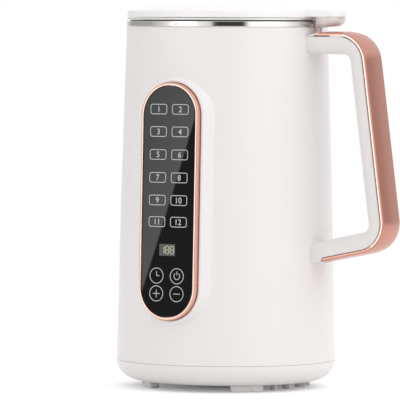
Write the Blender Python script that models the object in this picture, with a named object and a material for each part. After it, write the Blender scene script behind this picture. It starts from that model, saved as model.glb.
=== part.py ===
"""Soy milk maker: a tapered white housing round a steel jug, on a motor and heater, with a side handle.

The body's axis is the Z axis of the "machine" empty, the table is at zero, the handle points along +X
and the control panel faces -Y. Lengths are in metres. Names that end in share are plain ratios.
"""

import math

import bmesh
import bpy
from mathutils import Matrix, Vector

MM = 0.001

# Clearances
GAP = 0.3 * MM
OVERRUN = 3.0 * MM
WELD = 0.001 * MM

# Fineness of round shapes, in steps to a full turn
BODY_STEPS = 40
INNER_STEPS = 24
RING_STEPS = 16
PIN_STEPS = 8
CORNER_STEPS = 3

# Housing
FOOT_HEIGHT = 4.2 * MM
SEAM_Z = 17.5 * MM
SHELL_TOP_Z = 230.4 * MM
SHELL_FOOT_RADIUS = 70.1 * MM
SHELL_TAPER = 5.8 * MM
SHELL_CROWN = 0.35 * MM
SHELL_WALL = 2.5 * MM
SHELL_RINGS = 4

# Base cover
BASE_FLAT_RADIUS = 54.5 * MM
BASE_FLANK_STEPS = 5
BASE_WALL = 2.4 * MM
SPIGOT_RISE = 7.0 * MM
VENT_COUNT = 10
VENT_INNER_RADIUS = 15.0 * MM
VENT_MARGIN = 3.5 * MM
VENT_WIDTH = 3.2 * MM
VENT_CORNER = 1.45 * MM

# Feet
FOOT_COUNT = 4
FOOT_INSET = 0.5 * MM
FOOT_WIDTH = 7.0 * MM
FOOT_HALF_ANGLE = math.radians(11.7)
FOOT_EDGE = 0.7 * MM
FOOT_PEG_RADIUS = 2.3 * MM
FOOT_PEG_GRIP = 1.6 * MM

# Jug
JUG_SIDE_GAP = 4.8 * MM
JUG_WALL = 1.0 * MM
JUG_CORNER_RADIUS = 13.0 * MM
JUG_FLARE_RADIUS = 4.0 * MM
RIM_OVERHANG = 0.5 * MM
RIM_HEIGHT = 2.9 * MM
RIM_EDGE = 0.6 * MM
RIM_BEAD_WIDTH = 2.6 * MM
RIM_STEP = 0.9 * MM

# Panel
PANEL_TOP_GAP = 36.15 * MM
PANEL_FOOT_GAP = 30.25 * MM
GLASS_WIDTH = 37.2 * MM
GLASS_THICKNESS = 2.0 * MM
GLASS_EDGE = 0.4 * MM
BEZEL_RIM = 1.7 * MM
BEZEL_LIP = 0.3 * MM
BEZEL_EDGE = 0.9 * MM
BEZEL_STAND = 3.6 * MM
BEZEL_SINK = 2.6 * MM
BEZEL_LEDGE = 2.2 * MM
BOSS_STAND = 2.6 * MM
BOSS_MARGIN = 4.6 * MM
BOSS_EDGE = 1.6 * MM
BOSS_ROOT = 10.0 * MM
BOARD_THICKNESS = 1.6 * MM
DISPLAY_WIDTH = 20.0 * MM
DISPLAY_HEIGHT = 11.0 * MM
DISPLAY_DROP = 30.2 * MM

# Handle
HANDLE_DROP = 3.2 * MM
HANDLE_CLEAR = 40.0 * MM
HANDLE_LEAN_SHARE = 0.122
HANDLE_FOOT_Z = 82.5 * MM
HANDLE_RISE_SHARE = 0.17
HANDLE_WIDTH = 22.4 * MM
HANDLE_TOP_DEPTH = 13.9 * MM
HANDLE_GRIP_DEPTH = 12.2 * MM
HANDLE_LOW_DEPTH = 12.6 * MM
HANDLE_TOP_BEND = 20.0 * MM
HANDLE_LOW_BEND = 17.5 * MM
HANDLE_INNER_BEND = 5.0 * MM
HANDLE_EDGE = 1.1 * MM
TRIM_THICKNESS = 2.0 * MM
TRIM_GAP = 0.4 * MM
TRIM_EDGE = 0.6 * MM
TRIM_END_STAND = 6.4 * MM
HANDLE_SCREW_SPREAD = 6.0 * MM
HANDLE_SCREW_LENGTH = 14.0 * MM
SCREW_RADIUS = 1.6 * MM
SCREW_HEAD_RADIUS = 3.3 * MM
SCREW_HEAD_HEIGHT = 2.0 * MM
SCREW_CROWN_SHARE = 0.6
HOOK_HALF_WIDTH = 6.0 * MM
HOOK_THICKNESS = 3.6 * MM
HOOK_DROP = 5.0 * MM
HOOK_LEG = 2.0 * MM

# Safety switch in the head of the handle
POST_OFFSET = 5.65 * MM
POST_DEPTH = 4.4 * MM
POST_WIDTH = 10.0 * MM
POST_DIP = 3.2 * MM
POST_EDGE = 0.8 * MM
PLUNGER_HEIGHT = 2.0 * MM
SWITCH_WIDTH = 12.8 * MM
SWITCH_DEPTH = 5.8 * MM
SWITCH_BUTTON_RADIUS = 1.1 * MM
SWITCH_BUTTON_RISE = 0.8 * MM
POCKET_FLOOR = 1.5 * MM

# Lid
LID_INSET = 0.2 * MM
LID_RISE = 8.6 * MM
LID_SHADOW_GAP = 0.5 * MM
LID_WALL = 2.2 * MM
LID_EDGE_FALL = 3.4 * MM
LID_HOLLOW_SHARE = 0.6
LID_HOLLOW_FALL_SHARE = 0.3
PLATE_THICKNESS = 1.0 * MM
SEAL_LINE = 1.1 * MM
DISH_DEPTH = 9.7 * MM
SEAL_WALL = 1.4 * MM
SEAL_SKIRT_SHARE = 0.8
TONGUE_OVERHANG = 19.9 * MM
TONGUE_HALF_WIDTH = 11.0 * MM
TONGUE_HEIGHT = 5.3 * MM
TONGUE_EDGE = 1.2 * MM
CATCH_LENGTH = 16.5 * MM
CATCH_HALF_WIDTH = 10.5 * MM
CATCH_DEPTH = 6.0 * MM
CATCH_CORNER = 7.5 * MM
CATCH_EDGE = 2.6 * MM
LID_SCREW_INSET = 14.0 * MM
LID_SCREW_SHARE = 0.6
LID_BOSS_RADIUS = 4.0 * MM
PROBE_RADIUS = 2.5 * MM
PROBE_REACH = 22.0 * MM
PROBE_LENGTH = 13.0 * MM
PROBE_FLANGE_RADIUS = 5.0 * MM
PROBE_TIP_SHARE = 0.6

# Drive line, all on the body's axis
SHAFT_RADIUS = 3.0 * MM
SHAFT_FOOT_Z = 10.0 * MM
RUNNING_GAP = 0.1 * MM
END_FLOAT = 1.5 * MM
SHAFT_WAY = 1.2 * MM
BRUSH_CLEAR = 1.2 * MM
BEARING_RADIUS = 9.5 * MM
BEARING_HEIGHT = 6.0 * MM
BEARING_SEAT_WALL = 2.4 * MM
FAN_RADIUS = 20.5 * MM
FAN_HEIGHT = 6.2 * MM
FAN_DISC = 1.2 * MM
FAN_BLADE = 1.4 * MM
FAN_HUB_RADIUS = 6.5 * MM
FAN_BLADES = 9
BRACKET_BAR = 4.0 * MM
BRACKET_WIDTH = 27.0 * MM
COMMUTATOR_RADIUS = 10.0 * MM
COMMUTATOR_HEIGHT = 9.0 * MM
COMMUTATOR_BARS = 16
COMMUTATOR_SLIT_DEPTH = 1.0 * MM
COMMUTATOR_SLIT_SHARE = 0.14
ROTOR_RADIUS = 14.6 * MM
ROTOR_SLOTS = 12
ROTOR_SLOT_DEPTH = 4.4 * MM
ROTOR_SLOT_SHARE = 0.28
AIR_GAP = 0.6 * MM
STATOR_SIDE = 60.0 * MM
STATOR_CORNER = 9.0 * MM
STATOR_HEIGHT = 24.0 * MM
COIL_WIDTH = 8.0 * MM
COIL_DEPTH = 11.0 * MM
COIL_OVERHANG = 5.5 * MM
COIL_SPREAD = 12.5 * MM
COIL_OFFSET = 7.5 * MM
COIL_CORNER = 3.5 * MM
MOTOR_BOLT_RADIUS = 2.0 * MM
MOTOR_BOLT_HEAD = 3.6 * MM
MOTOR_BOLT_INSET = 4.6 * MM
BRUSH_WIDTH = 6.0 * MM
BRUSH_HEIGHT = 5.0 * MM
BRUSH_HOLDER_WALL = 1.0 * MM
BRUSH_HOLDER_LENGTH = 13.0 * MM
DAMPER_RADIUS = 7.0 * MM
DAMPER_HEIGHT = 6.0 * MM

# Carrier that hangs the motor and props the heater
DECK_SIDE_GAP = 6.5 * MM
DECK_THICKNESS = 3.0 * MM
DECK_BORE_RADIUS = 15.0 * MM
COLUMN_COUNT = 3
COLUMN_RADIUS = 4.5 * MM
COLUMN_CLEAR = 7.5 * MM
PROP_RADIUS = 3.5 * MM
PROP_INSET = 6.0 * MM
BASE_SCREW_LENGTH = 14.0 * MM

# Heater and jug fittings
HEATER_ROOM = 19.6 * MM
HEATER_PLATE_INSET = 11.0 * MM
HEATER_PLATE_THICKNESS = 2.7 * MM
HEATER_RING_INSET = 16.0 * MM
HEATER_TUBE_RADIUS = 3.3 * MM
HEATER_HALF_OPENING = math.radians(14)
HEATER_OPENING_TURN = math.radians(150)
SENSOR_TURN = math.radians(30)
SENSOR_RADIUS = 2.5 * MM
SENSOR_RISE = 7.0 * MM
SENSOR_FLANGE_RADIUS = 5.0 * MM
SENSOR_FLANGE_HEIGHT = 2.0 * MM
SEAL_NECK_RADIUS = 8.7 * MM
SEAL_FLANGE_RADIUS = 12.0 * MM
SEAL_FLANGE_HEIGHT = 2.6 * MM
SEAL_BOSS_RADIUS = 6.5 * MM
SEAL_BOSS_HEIGHT = 3.4 * MM
SEAL_NUT_RADIUS = 13.0 * MM
SEAL_NUT_HEIGHT = 5.5 * MM
SEAL_NECK_BELOW = 1.8 * MM

# Blade
BLADE_SWEEP_GAP = 8.8 * MM
BLADE_THICKNESS = 1.5 * MM
BLADE_HALF_WIDTH = 4.6 * MM
BLADE_TIP_HALF_WIDTH = 2.6 * MM
BLADE_BEVEL = 1.6 * MM
BLADE_BEND_RADIUS = 9.0 * MM
BLADE_FLOAT = 0.9 * MM
BLADE_UP = 8.0 * MM
BLADE_DOWN = 3.5 * MM
BLADE_HUB_RADIUS = 6.0 * MM
BLADE_HUB_HEIGHT = 3.6 * MM
BLADE_NUT_RADIUS = 5.2 * MM
BLADE_NUT_HEIGHT = 4.6 * MM
BLADE_NUT_EDGE = 0.5 * MM

# Power inlet and board
INLET_Z = 40.0 * MM
INLET_WIDTH = 29.0 * MM
INLET_HEIGHT = 22.0 * MM
INLET_DEPTH = 24.0 * MM
INLET_CORNER = 3.0 * MM
INLET_WALL = 2.6 * MM
INLET_RECESS = 18.0 * MM
INLET_SINK = 0.8 * MM
INLET_PIN_SPREAD = 7.0 * MM
INLET_PIN_DROP = 2.0 * MM
INLET_PIN_LENGTH = 11.0 * MM
INLET_PIN_WIDTH = 2.0 * MM
INLET_PIN_HEIGHT = 4.0 * MM
POWER_BOARD_WIDTH = 46.0 * MM
POWER_BOARD_HEIGHT = 56.0 * MM
POWER_BOARD_SIDE_GAP = 15.0 * MM
POWER_BOARD_SHIFT = 8.0 * MM
RELAY_SIZE = 14.0 * MM
RELAY_HEIGHT = 19.6 * MM
RELAY_DEPTH = 9.5 * MM
CAPACITOR_RADIUS = 5.0 * MM
CAPACITOR_DEPTH = 9.0 * MM

# Places that follow from the sizes above
SHELL_TOP_RADIUS = SHELL_FOOT_RADIUS - SHELL_TAPER
FOOT_OUTER_RADIUS = BASE_FLAT_RADIUS - FOOT_INSET
FOOT_INNER_RADIUS = FOOT_OUTER_RADIUS - FOOT_WIDTH
JUG_RADIUS = SHELL_TOP_RADIUS - SHELL_WALL - JUG_SIDE_GAP
RIM_RADIUS = SHELL_TOP_RADIUS + RIM_OVERHANG
LID_RADIUS = SHELL_TOP_RADIUS - LID_INSET
TONGUE_REACH = LID_RADIUS + TONGUE_OVERHANG
POST_REACH = LID_RADIUS + POST_OFFSET
HANDLE_TOP_REACH = SHELL_TOP_RADIUS + HANDLE_CLEAR
COLUMN_CIRCLE_RADIUS = STATOR_SIDE / 2 + COLUMN_CLEAR + COLUMN_RADIUS
VENT_OUTER_RADIUS = COLUMN_CIRCLE_RADIUS - COLUMN_RADIUS - VENT_MARGIN
HEATER_PLATE_RADIUS = JUG_RADIUS - HEATER_PLATE_INSET
HEATER_RING_RADIUS = HEATER_PLATE_RADIUS - HEATER_RING_INSET
PROP_CIRCLE_RADIUS = HEATER_PLATE_RADIUS - PROP_INSET
SENSOR_REACH = HEATER_RING_RADIUS + HEATER_TUBE_RADIUS + SENSOR_FLANGE_RADIUS
BLADE_RADIUS = SENSOR_REACH - SENSOR_RADIUS - BLADE_SWEEP_GAP
HANDLE_TOP_Z = SHELL_TOP_Z - HANDLE_DROP
MOTOR_BOLT_SPREAD = STATOR_SIDE / 2 - MOTOR_BOLT_INSET
RIM_Z = SHELL_TOP_Z + GAP
RIM_TOP_Z = RIM_Z + RIM_HEIGHT
PLATE_Z = RIM_TOP_Z + SEAL_LINE
LID_Z = PLATE_Z + PLATE_THICKNESS + LID_SHADOW_GAP
LID_TOP_Z = LID_Z + LID_RISE
DISH_FLOOR_Z = PLATE_Z - DISH_DEPTH
DISH_RADIUS = JUG_RADIUS - JUG_WALL - 2 * GAP - SEAL_WALL
LID_SCREW_RADIUS = DISH_RADIUS - LID_SCREW_INSET
BASE_INNER_Z = FOOT_HEIGHT + BASE_WALL
PANEL_TILT = math.atan2(SHELL_TAPER, SHELL_TOP_Z - SEAM_Z)
GLASS_HEIGHT = SHELL_TOP_Z - SEAM_Z - PANEL_TOP_GAP - PANEL_FOOT_GAP
PANEL_Z = SEAM_Z + PANEL_FOOT_GAP + GLASS_HEIGHT / 2
BEZEL_WIDTH = GLASS_WIDTH + 2 * (BEZEL_RIM + GAP)
BEZEL_HEIGHT = GLASS_HEIGHT + 2 * (BEZEL_RIM + GAP)
FAN_Z = BASE_INNER_Z + GAP + OVERRUN
LOWER_BRACKET_Z = FAN_Z + FAN_HEIGHT + FAN_DISC + END_FLOAT
LOWER_SEAT_TOP_Z = LOWER_BRACKET_Z + BEARING_SEAT_WALL + BEARING_HEIGHT
COMMUTATOR_Z = LOWER_SEAT_TOP_Z + END_FLOAT
COIL_Z = COMMUTATOR_Z + COMMUTATOR_HEIGHT + 2 * GAP
STATOR_Z = COIL_Z + COIL_OVERHANG
STATOR_TOP_Z = STATOR_Z + STATOR_HEIGHT
UPPER_BRACKET_Z = STATOR_TOP_Z + COIL_OVERHANG + END_FLOAT
UPPER_BAR_TOP_Z = UPPER_BRACKET_Z + BRACKET_BAR
DAMPER_Z = UPPER_BAR_TOP_Z + GAP
DECK_Z = DAMPER_Z + DAMPER_HEIGHT + GAP
DECK_TOP_Z = DECK_Z + DECK_THICKNESS
JUG_FLOOR_Z = DECK_TOP_Z + HEATER_ROOM
JUG_FOOT_Z = JUG_FLOOR_Z - JUG_WALL
HEATER_PLATE_Z = JUG_FOOT_Z - GAP - HEATER_PLATE_THICKNESS
SEAL_TOP_Z = JUG_FLOOR_Z + GAP + SEAL_FLANGE_HEIGHT + SEAL_BOSS_HEIGHT
BLADE_Z = SEAL_TOP_Z + BLADE_FLOAT
BLADE_NUT_Z = BLADE_Z + BLADE_HUB_HEIGHT + GAP
SHAFT_TOP_Z = BLADE_NUT_Z + BLADE_NUT_HEIGHT - BLADE_THICKNESS


def shell_radius(height):
    """Outer radius of the housing: a straight taper with a slight crown half way up."""
    share = (height - SEAM_Z) / (SHELL_TOP_Z - SEAM_Z)
    taper = SHELL_FOOT_RADIUS + (SHELL_TOP_RADIUS - SHELL_FOOT_RADIUS) * share
    return taper + 4 * SHELL_CROWN * share * (1 - share)


def linear(hex_colour):
    """Turn an sRGB colour such as "f0f0f0" into linear red, green and blue."""
    values = []
    for place in (0, 2, 4):
        value = int(hex_colour[place:place + 2], 16) / 255
        values.append(value / 12.92 if value <= 0.04045 else ((value + 0.055) / 1.055) ** 2.4)
    return values


def finish(name, hex_colour, roughness, metallic=0.0):
    """A Principled material in one colour."""
    material = bpy.data.materials.new(name)
    material.use_nodes = True
    shader = material.node_tree.nodes["Principled BSDF"]
    shader.inputs["Base Color"].default_value = (*linear(hex_colour), 1.0)
    shader.inputs["Roughness"].default_value = roughness
    shader.inputs["Metallic"].default_value = metallic
    return material


def white_plastic(name):
    """Satin white moulded ABS."""
    return finish(name, "f2efee", 0.35)


def steel(name):
    """Brushed stainless steel."""
    return finish(name, "c9c9c6", 0.3, 1.0)


def black_plastic(name):
    """Plain black nylon."""
    return finish(name, "26272a", 0.5)


def brass(name):
    """Bright brass."""
    return finish(name, "c9a45c", 0.3, 1.0)


def plated(name):
    """Zinc-plated steel."""
    return finish(name, "b4b6b8", 0.35, 1.0)


def rubber(name):
    """Matt dark rubber."""
    return finish(name, "3a3b3d", 0.8)


def empty(name, parent=None, location=(0, 0, 0), rotation=(0, 0, 0)):
    """An empty that carries other objects."""
    frame = bpy.data.objects.new(name, None)
    bpy.context.scene.collection.objects.link(frame)
    frame.location = location
    frame.rotation_euler = rotation
    frame.parent = parent
    return frame


def add(name, bm, parent, material=None, location=(0, 0, 0), rotation=(0, 0, 0), sharp_degrees=35):
    """Store a bmesh as a named object under its parent."""
    bmesh.ops.remove_doubles(bm, verts=bm.verts, dist=WELD)
    bmesh.ops.recalc_face_normals(bm, faces=bm.faces)
    mesh = bpy.data.meshes.new(name)
    bm.to_mesh(mesh)
    bm.free()
    mesh.shade_smooth()
    mesh.set_sharp_from_angle(angle=math.radians(sharp_degrees))
    piece = bpy.data.objects.new(name, mesh)
    bpy.context.scene.collection.objects.link(piece)
    piece.parent = parent
    piece.location = location
    piece.rotation_euler = rotation
    if material:
        mesh.materials.append(material)
    return piece


def hidden(piece):
    """Mark an object as a cutter or as stock that is fused into another."""
    piece.hide_render = True
    piece.display_type = "WIRE"
    return piece


def combine(piece, tool, operation):
    """Add an exact Boolean that takes a hidden tool object."""
    modifier = piece.modifiers.new(tool.name, "BOOLEAN")
    modifier.operation = operation
    modifier.solver = "EXACT"
    modifier.object = hidden(tool)


def cut(piece, *tools):
    """Cut tools out of a piece."""
    for tool in tools:
        combine(piece, tool, "DIFFERENCE")


def fuse(piece, *tools):
    """Fuse tools onto a piece."""
    for tool in tools:
        combine(piece, tool, "UNION")


def soften(piece, width, segments=2, degrees=40):
    """Round the edges that are sharper than an angle."""
    modifier = piece.modifiers.new("soft edges", "BEVEL")
    modifier.width = width
    modifier.segments = segments
    modifier.limit_method = "ANGLE"
    modifier.angle_limit = math.radians(degrees)


def turned(profile, steps=RING_STEPS):
    """Spin a list of radius and height pairs about Z; a profile that leaves the axis is closed first."""
    bm = bmesh.new()
    points = [bm.verts.new((radius, 0, height)) for radius, height in profile]
    edges = [bm.edges.new(pair) for pair in zip(points, points[1:])]
    if profile[0][0] > 0:
        edges.append(bm.edges.new((points[-1], points[0])))
    bmesh.ops.spin(
        bm, geom=points + edges, cent=(0, 0, 0), axis=(0, 0, 1), angle=math.tau, steps=steps, use_merge=True
    )
    return bm


def tube_profile(inner_radius, outer_radius, low, high):
    """Section of a plain ring."""
    return [(inner_radius, low), (outer_radius, low), (outer_radius, high), (inner_radius, high)]


def prism(outline, low, high):
    """Extrude a closed outline along Z."""
    bm = bmesh.new()
    face = bm.faces.new([bm.verts.new((x, y, low)) for x, y in outline])
    grown = bmesh.ops.extrude_face_region(bm, geom=[face])
    raised = [item for item in grown["geom"] if isinstance(item, bmesh.types.BMVert)]
    bmesh.ops.translate(bm, verts=raised, vec=(0, 0, high - low))
    return bm


def rod(radius, low, high, steps=RING_STEPS):
    """A plain round rod along Z."""
    return prism(circle(radius, steps), low, high)


def loft(rings):
    """Skin rings of points that have the same count, and close both ends."""
    bm = bmesh.new()
    rows = [[bm.verts.new(point) for point in ring] for ring in rings]
    for near, far in zip(rows, rows[1:]):
        for place in range(len(near)):
            after = (place + 1) % len(near)
            bm.faces.new((near[place], near[after], far[after], far[place]))
    bm.faces.new(reversed(rows[0]))
    bm.faces.new(rows[-1])
    return bm


def merged(*meshes):
    """Put several bmeshes into one, for a cutter or for stock."""
    whole = meshes[0]
    for other in meshes[1:]:
        mesh = bpy.data.meshes.new("stock")
        other.to_mesh(mesh)
        other.free()
        whole.from_mesh(mesh)
        bpy.data.meshes.remove(mesh)
    return whole


def moved(bm, x=0, y=0, z=0):
    """Shift a bmesh."""
    bmesh.ops.translate(bm, verts=bm.verts, vec=(x, y, z))
    return bm


def swung(bm, angle, axis="Z"):
    """Turn a bmesh about an axis through its origin."""
    bmesh.ops.rotate(bm, verts=bm.verts, cent=(0, 0, 0), matrix=Matrix.Rotation(angle, 3, axis))
    return bm


def arc(centre_x, centre_y, radius, start, end, steps=CORNER_STEPS):
    """Points on an arc, both ends included, angles in degrees."""
    points = []
    for step in range(steps + 1):
        angle = math.radians(start + (end - start) * step / steps)
        points.append((centre_x + radius * math.cos(angle), centre_y + radius * math.sin(angle)))
    return points


def circle(radius, steps=PIN_STEPS):
    """A regular outline."""
    return arc(0, 0, radius, 0, 360, steps)[:-1]


def rectangle(width, depth):
    """A rectangle about the origin."""
    return [
        (-width / 2, -depth / 2), (width / 2, -depth / 2), (width / 2, depth / 2), (-width / 2, depth / 2)
    ]


def rounded_rectangle(width, depth, corner, steps=CORNER_STEPS):
    """A rectangle about the origin with round corners."""
    x = width / 2 - corner
    y = depth / 2 - corner
    return (
        arc(x, -y, corner, -90, 0, steps) + arc(x, y, corner, 0, 90, steps)
        + arc(-x, y, corner, 90, 180, steps) + arc(-x, -y, corner, 180, 270, steps)
    )


def stadium(width, height, steps=11):
    """A slot shape that stands up: half circles above and below straight sides."""
    radius = width / 2
    straight = height / 2 - radius
    return arc(0, straight, radius, 0, 180, steps) + arc(0, -straight, radius, 180, 360, steps)


def bent(corners, radii, steps=8):
    """Round the inner corners of an open line, each with its own radius."""
    path = [corners[0]]
    for before, corner, after, radius in zip(corners, corners[1:], corners[2:], radii):
        here = Vector(corner)
        back = (Vector(before) - here).normalized()
        ahead = (Vector(after) - here).normalized()
        half = back.angle(ahead) / 2
        centre = here + (back + ahead).normalized() * (radius / math.sin(half))
        first = here + back * (radius / math.tan(half)) - centre
        turn = first.angle_signed(here + ahead * (radius / math.tan(half)) - centre)
        for step in range(steps + 1):
            path.append(tuple(centre + Matrix.Rotation(-turn * step / steps, 2) @ first))
    path.append(corners[-1])
    return path


def beside(path, distance):
    """The line that runs at a distance to the right of an open line."""
    result = []
    for place, point in enumerate(path):
        before = Vector(path[max(place - 1, 0)])
        after = Vector(path[min(place + 1, len(path) - 1)])
        along = (after - before).normalized()
        across = Vector((along.y, -along.x))
        onward = (after - Vector(point)).normalized() if after != Vector(point) else along
        result.append(tuple(Vector(point) + across * (distance / onward.dot(along))))
    return result


def handle_outer_path():
    """Outer side of the handle as reach and height, from the top root round to the lower root."""
    top = Vector((0, HANDLE_TOP_Z))
    corner = Vector((HANDLE_TOP_REACH, HANDLE_TOP_Z))
    low_corner = handle_low_corner(0, 0)
    foot = Vector((0, HANDLE_FOOT_Z - HANDLE_RISE_SHARE * SHELL_FOOT_RADIUS))
    return bent([top, corner, low_corner, foot], [HANDLE_TOP_BEND, HANDLE_LOW_BEND], 9)


def handle_low_corner(inward, upward):
    """Where the grip's line meets the lower arm's line, each shifted into the handle."""
    reach = HANDLE_TOP_REACH - inward
    foot = HANDLE_FOOT_Z + upward - HANDLE_RISE_SHARE * SHELL_FOOT_RADIUS
    across = reach + HANDLE_LEAN_SHARE * (HANDLE_TOP_Z - foot)
    across = across / (1 + HANDLE_LEAN_SHARE * HANDLE_RISE_SHARE)
    return Vector((across, foot + HANDLE_RISE_SHARE * across))


def handle_inner_path():
    """Inner side of the handle, from the lower root up to the top root."""
    under = HANDLE_TOP_Z - HANDLE_TOP_DEPTH
    corner = Vector((HANDLE_TOP_REACH - HANDLE_GRIP_DEPTH + HANDLE_LEAN_SHARE * HANDLE_TOP_DEPTH, under))
    low_corner = handle_low_corner(HANDLE_GRIP_DEPTH, HANDLE_LOW_DEPTH)
    foot = Vector((0, HANDLE_FOOT_Z + HANDLE_LOW_DEPTH - HANDLE_RISE_SHARE * SHELL_FOOT_RADIUS))
    return bent([foot, low_corner, corner, (0, under)], [HANDLE_INNER_BEND, HANDLE_INNER_BEND], 6)


def at_reach(path, reach, last=True):
    """Cut a line where it passes a reach, and keep the part further out."""
    kept = [tuple(point) for point in path if point[0] > reach]
    start, end = path[0], path[-1]
    first = kept[0]
    final = kept[-1]
    lead = (reach, first[1] + (start[1] - first[1]) * (first[0] - reach) / (first[0] - start[0]))
    tail = (reach, final[1] + (end[1] - final[1]) * (final[0] - reach) / (final[0] - end[0]))
    return [lead] + kept + ([tail] if last else [])


def body_stock(extra, low, high):
    """A solid with the housing's taper, larger or smaller by an extra radius."""
    profile = [(0, low)]
    for step in range(SHELL_RINGS + 1):
        height = low + (high - low) * step / SHELL_RINGS
        profile.append((shell_radius(height) + extra, height))
    return turned(profile + [(0, high)], BODY_STEPS)


def panel_frame(machine):
    """An empty on the housing's front line: local X to the right, Y up the panel, Z outwards."""
    return empty(
        "panel_frame", machine, (0, -shell_radius(PANEL_Z), PANEL_Z), (math.pi / 2 - PANEL_TILT, 0, 0)
    )


def outer_shell(machine, panel):
    """The tapered white housing with its raised panel boss and its holes."""
    shell = add("outer_shell", body_stock(0, SEAM_Z, SHELL_TOP_Z), machine, white_plastic("shell white"))
    boss_outline = stadium(BEZEL_WIDTH + 2 * BOSS_MARGIN, BEZEL_HEIGHT + 2 * BOSS_MARGIN, 15)
    boss = add("panel_boss", prism(boss_outline, -BOSS_ROOT, BOSS_STAND), panel)
    soften(boss, BOSS_EDGE, 3)
    fuse(shell, boss)
    cavity = add("cavity", body_stock(-SHELL_WALL, SEAM_Z - OVERRUN, SHELL_TOP_Z + OVERRUN), machine)
    window_outline = stadium(GLASS_WIDTH - BEZEL_RIM, GLASS_HEIGHT - BEZEL_RIM)
    window = add("window", prism(window_outline, -BOSS_ROOT - OVERRUN, BOSS_STAND + OVERRUN), panel)
    seat_outline = stadium(BEZEL_WIDTH + 2 * GAP, BEZEL_HEIGHT + 2 * GAP)
    seat_floor = BOSS_STAND - BEZEL_SINK - GAP
    seat = add("bezel_seat", prism(seat_outline, seat_floor, BOSS_STAND + OVERRUN), panel)
    inlet = add(
        "inlet_hole",
        prism(
            rounded_rectangle(INLET_WIDTH + 2 * GAP, INLET_HEIGHT + 2 * GAP, INLET_CORNER + GAP),
            0, INLET_DEPTH + OVERRUN,
        ),
        machine, location=(0, SHELL_FOOT_RADIUS - INLET_DEPTH, INLET_Z), rotation=(-math.pi / 2, 0, 0),
    )
    cut(shell, cavity, window, seat, inlet, hook_hole(machine), screw_holes(machine))
    return shell


def hook_height():
    """Middle height of the hook that the handle's top root puts through the housing."""
    return HANDLE_TOP_Z - HANDLE_TOP_DEPTH + HOOK_THICKNESS


def hook_hole(machine):
    """Slot in the housing for the handle's hook; tall enough to swing the hook in."""
    outline = rectangle(SHELL_TOP_RADIUS, 2 * (HOOK_HALF_WIDTH + GAP))
    half = HOOK_THICKNESS / 2
    slot = prism(outline, -half - HOOK_DROP / 2, half + GAP)
    return add("hook_hole", slot, machine, location=(SHELL_TOP_RADIUS, 0, hook_height()))


def screw_height():
    """Height of the two handle screws, in the middle of the lower arm's root."""
    return HANDLE_FOOT_Z + HANDLE_LOW_DEPTH / 2


def screw_holes(machine):
    """Two holes in the housing wall for the handle screws."""
    holes = []
    for side in (-1, 1):
        bar = swung(rod(SCREW_RADIUS + GAP, 0, 2 * HANDLE_SCREW_LENGTH, PIN_STEPS), math.pi / 2, "Y")
        start = SHELL_FOOT_RADIUS - HANDLE_SCREW_LENGTH
        holes.append(moved(bar, start, side * HANDLE_SCREW_SPREAD, screw_height()))
    return add("screw_holes", merged(*holes), machine)


def base_profile():
    """Section of the base cover: flat underside, elliptic flank and a spigot inside the housing."""
    flank = []
    inner = []
    rise = SEAM_Z - GAP - FOOT_HEIGHT
    spread = SHELL_FOOT_RADIUS - BASE_FLAT_RADIUS
    for step in range(BASE_FLANK_STEPS + 1):
        angle = math.pi / 2 * step / BASE_FLANK_STEPS
        height = FOOT_HEIGHT + rise * (1 - math.cos(angle))
        flank.append((BASE_FLAT_RADIUS + spread * math.sin(angle), height))
    spigot = SHELL_FOOT_RADIUS - SHELL_WALL - 2 * GAP
    for step in range(CORNER_STEPS + 1):
        angle = math.pi / 2 * (CORNER_STEPS - step) / CORNER_STEPS
        inner.append((
            BASE_FLAT_RADIUS - BASE_WALL + (spigot - BASE_FLAT_RADIUS) * math.sin(angle),
            BASE_INNER_Z + rise * (1 - math.cos(angle)),
        ))
    lip = [(spigot, SEAM_Z - GAP), (spigot, SEAM_Z + SPIGOT_RISE), (spigot - BASE_WALL, SEAM_Z + SPIGOT_RISE)]
    return [(0, FOOT_HEIGHT)] + flank + lip + inner + [(0, BASE_INNER_Z)]


def base_cover(machine):
    """The pan under the housing, with cooling slots and holes for pegs and screws."""
    base = add("base_cover", turned(base_profile(), BODY_STEPS), machine, white_plastic("base white"))
    slot_length = VENT_OUTER_RADIUS - VENT_INNER_RADIUS
    low = FOOT_HEIGHT - OVERRUN
    high = BASE_INNER_Z + OVERRUN
    slots = []
    for number in range(VENT_COUNT):
        slot = prism(rounded_rectangle(slot_length, VENT_WIDTH, VENT_CORNER, 1), low, high)
        slots.append(swung(moved(slot, VENT_INNER_RADIUS + slot_length / 2), math.tau * number / VENT_COUNT))
    for angle in foot_angles():
        hole = rod(FOOT_PEG_RADIUS + GAP, low, high, PIN_STEPS)
        slots.append(swung(moved(hole, foot_radius()), angle))
    for angle in column_angles():
        hole = rod(SCREW_RADIUS + GAP, low, high, PIN_STEPS)
        slots.append(swung(moved(hole, COLUMN_CIRCLE_RADIUS), angle))
    cut(base, add("base_holes", merged(*slots), machine))
    return base


def foot_angles():
    """Directions of the feet, midway between front, back and sides."""
    return [math.tau * (number + 1 / 2) / FOOT_COUNT for number in range(FOOT_COUNT)]


def foot_radius():
    """Middle radius of a foot."""
    return (FOOT_INNER_RADIUS + FOOT_OUTER_RADIUS) / 2


def column_angles():
    """Directions of the carrier's columns, clear of the power inlet at the back."""
    return [math.tau * number / COLUMN_COUNT for number in range(COLUMN_COUNT)]


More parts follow.
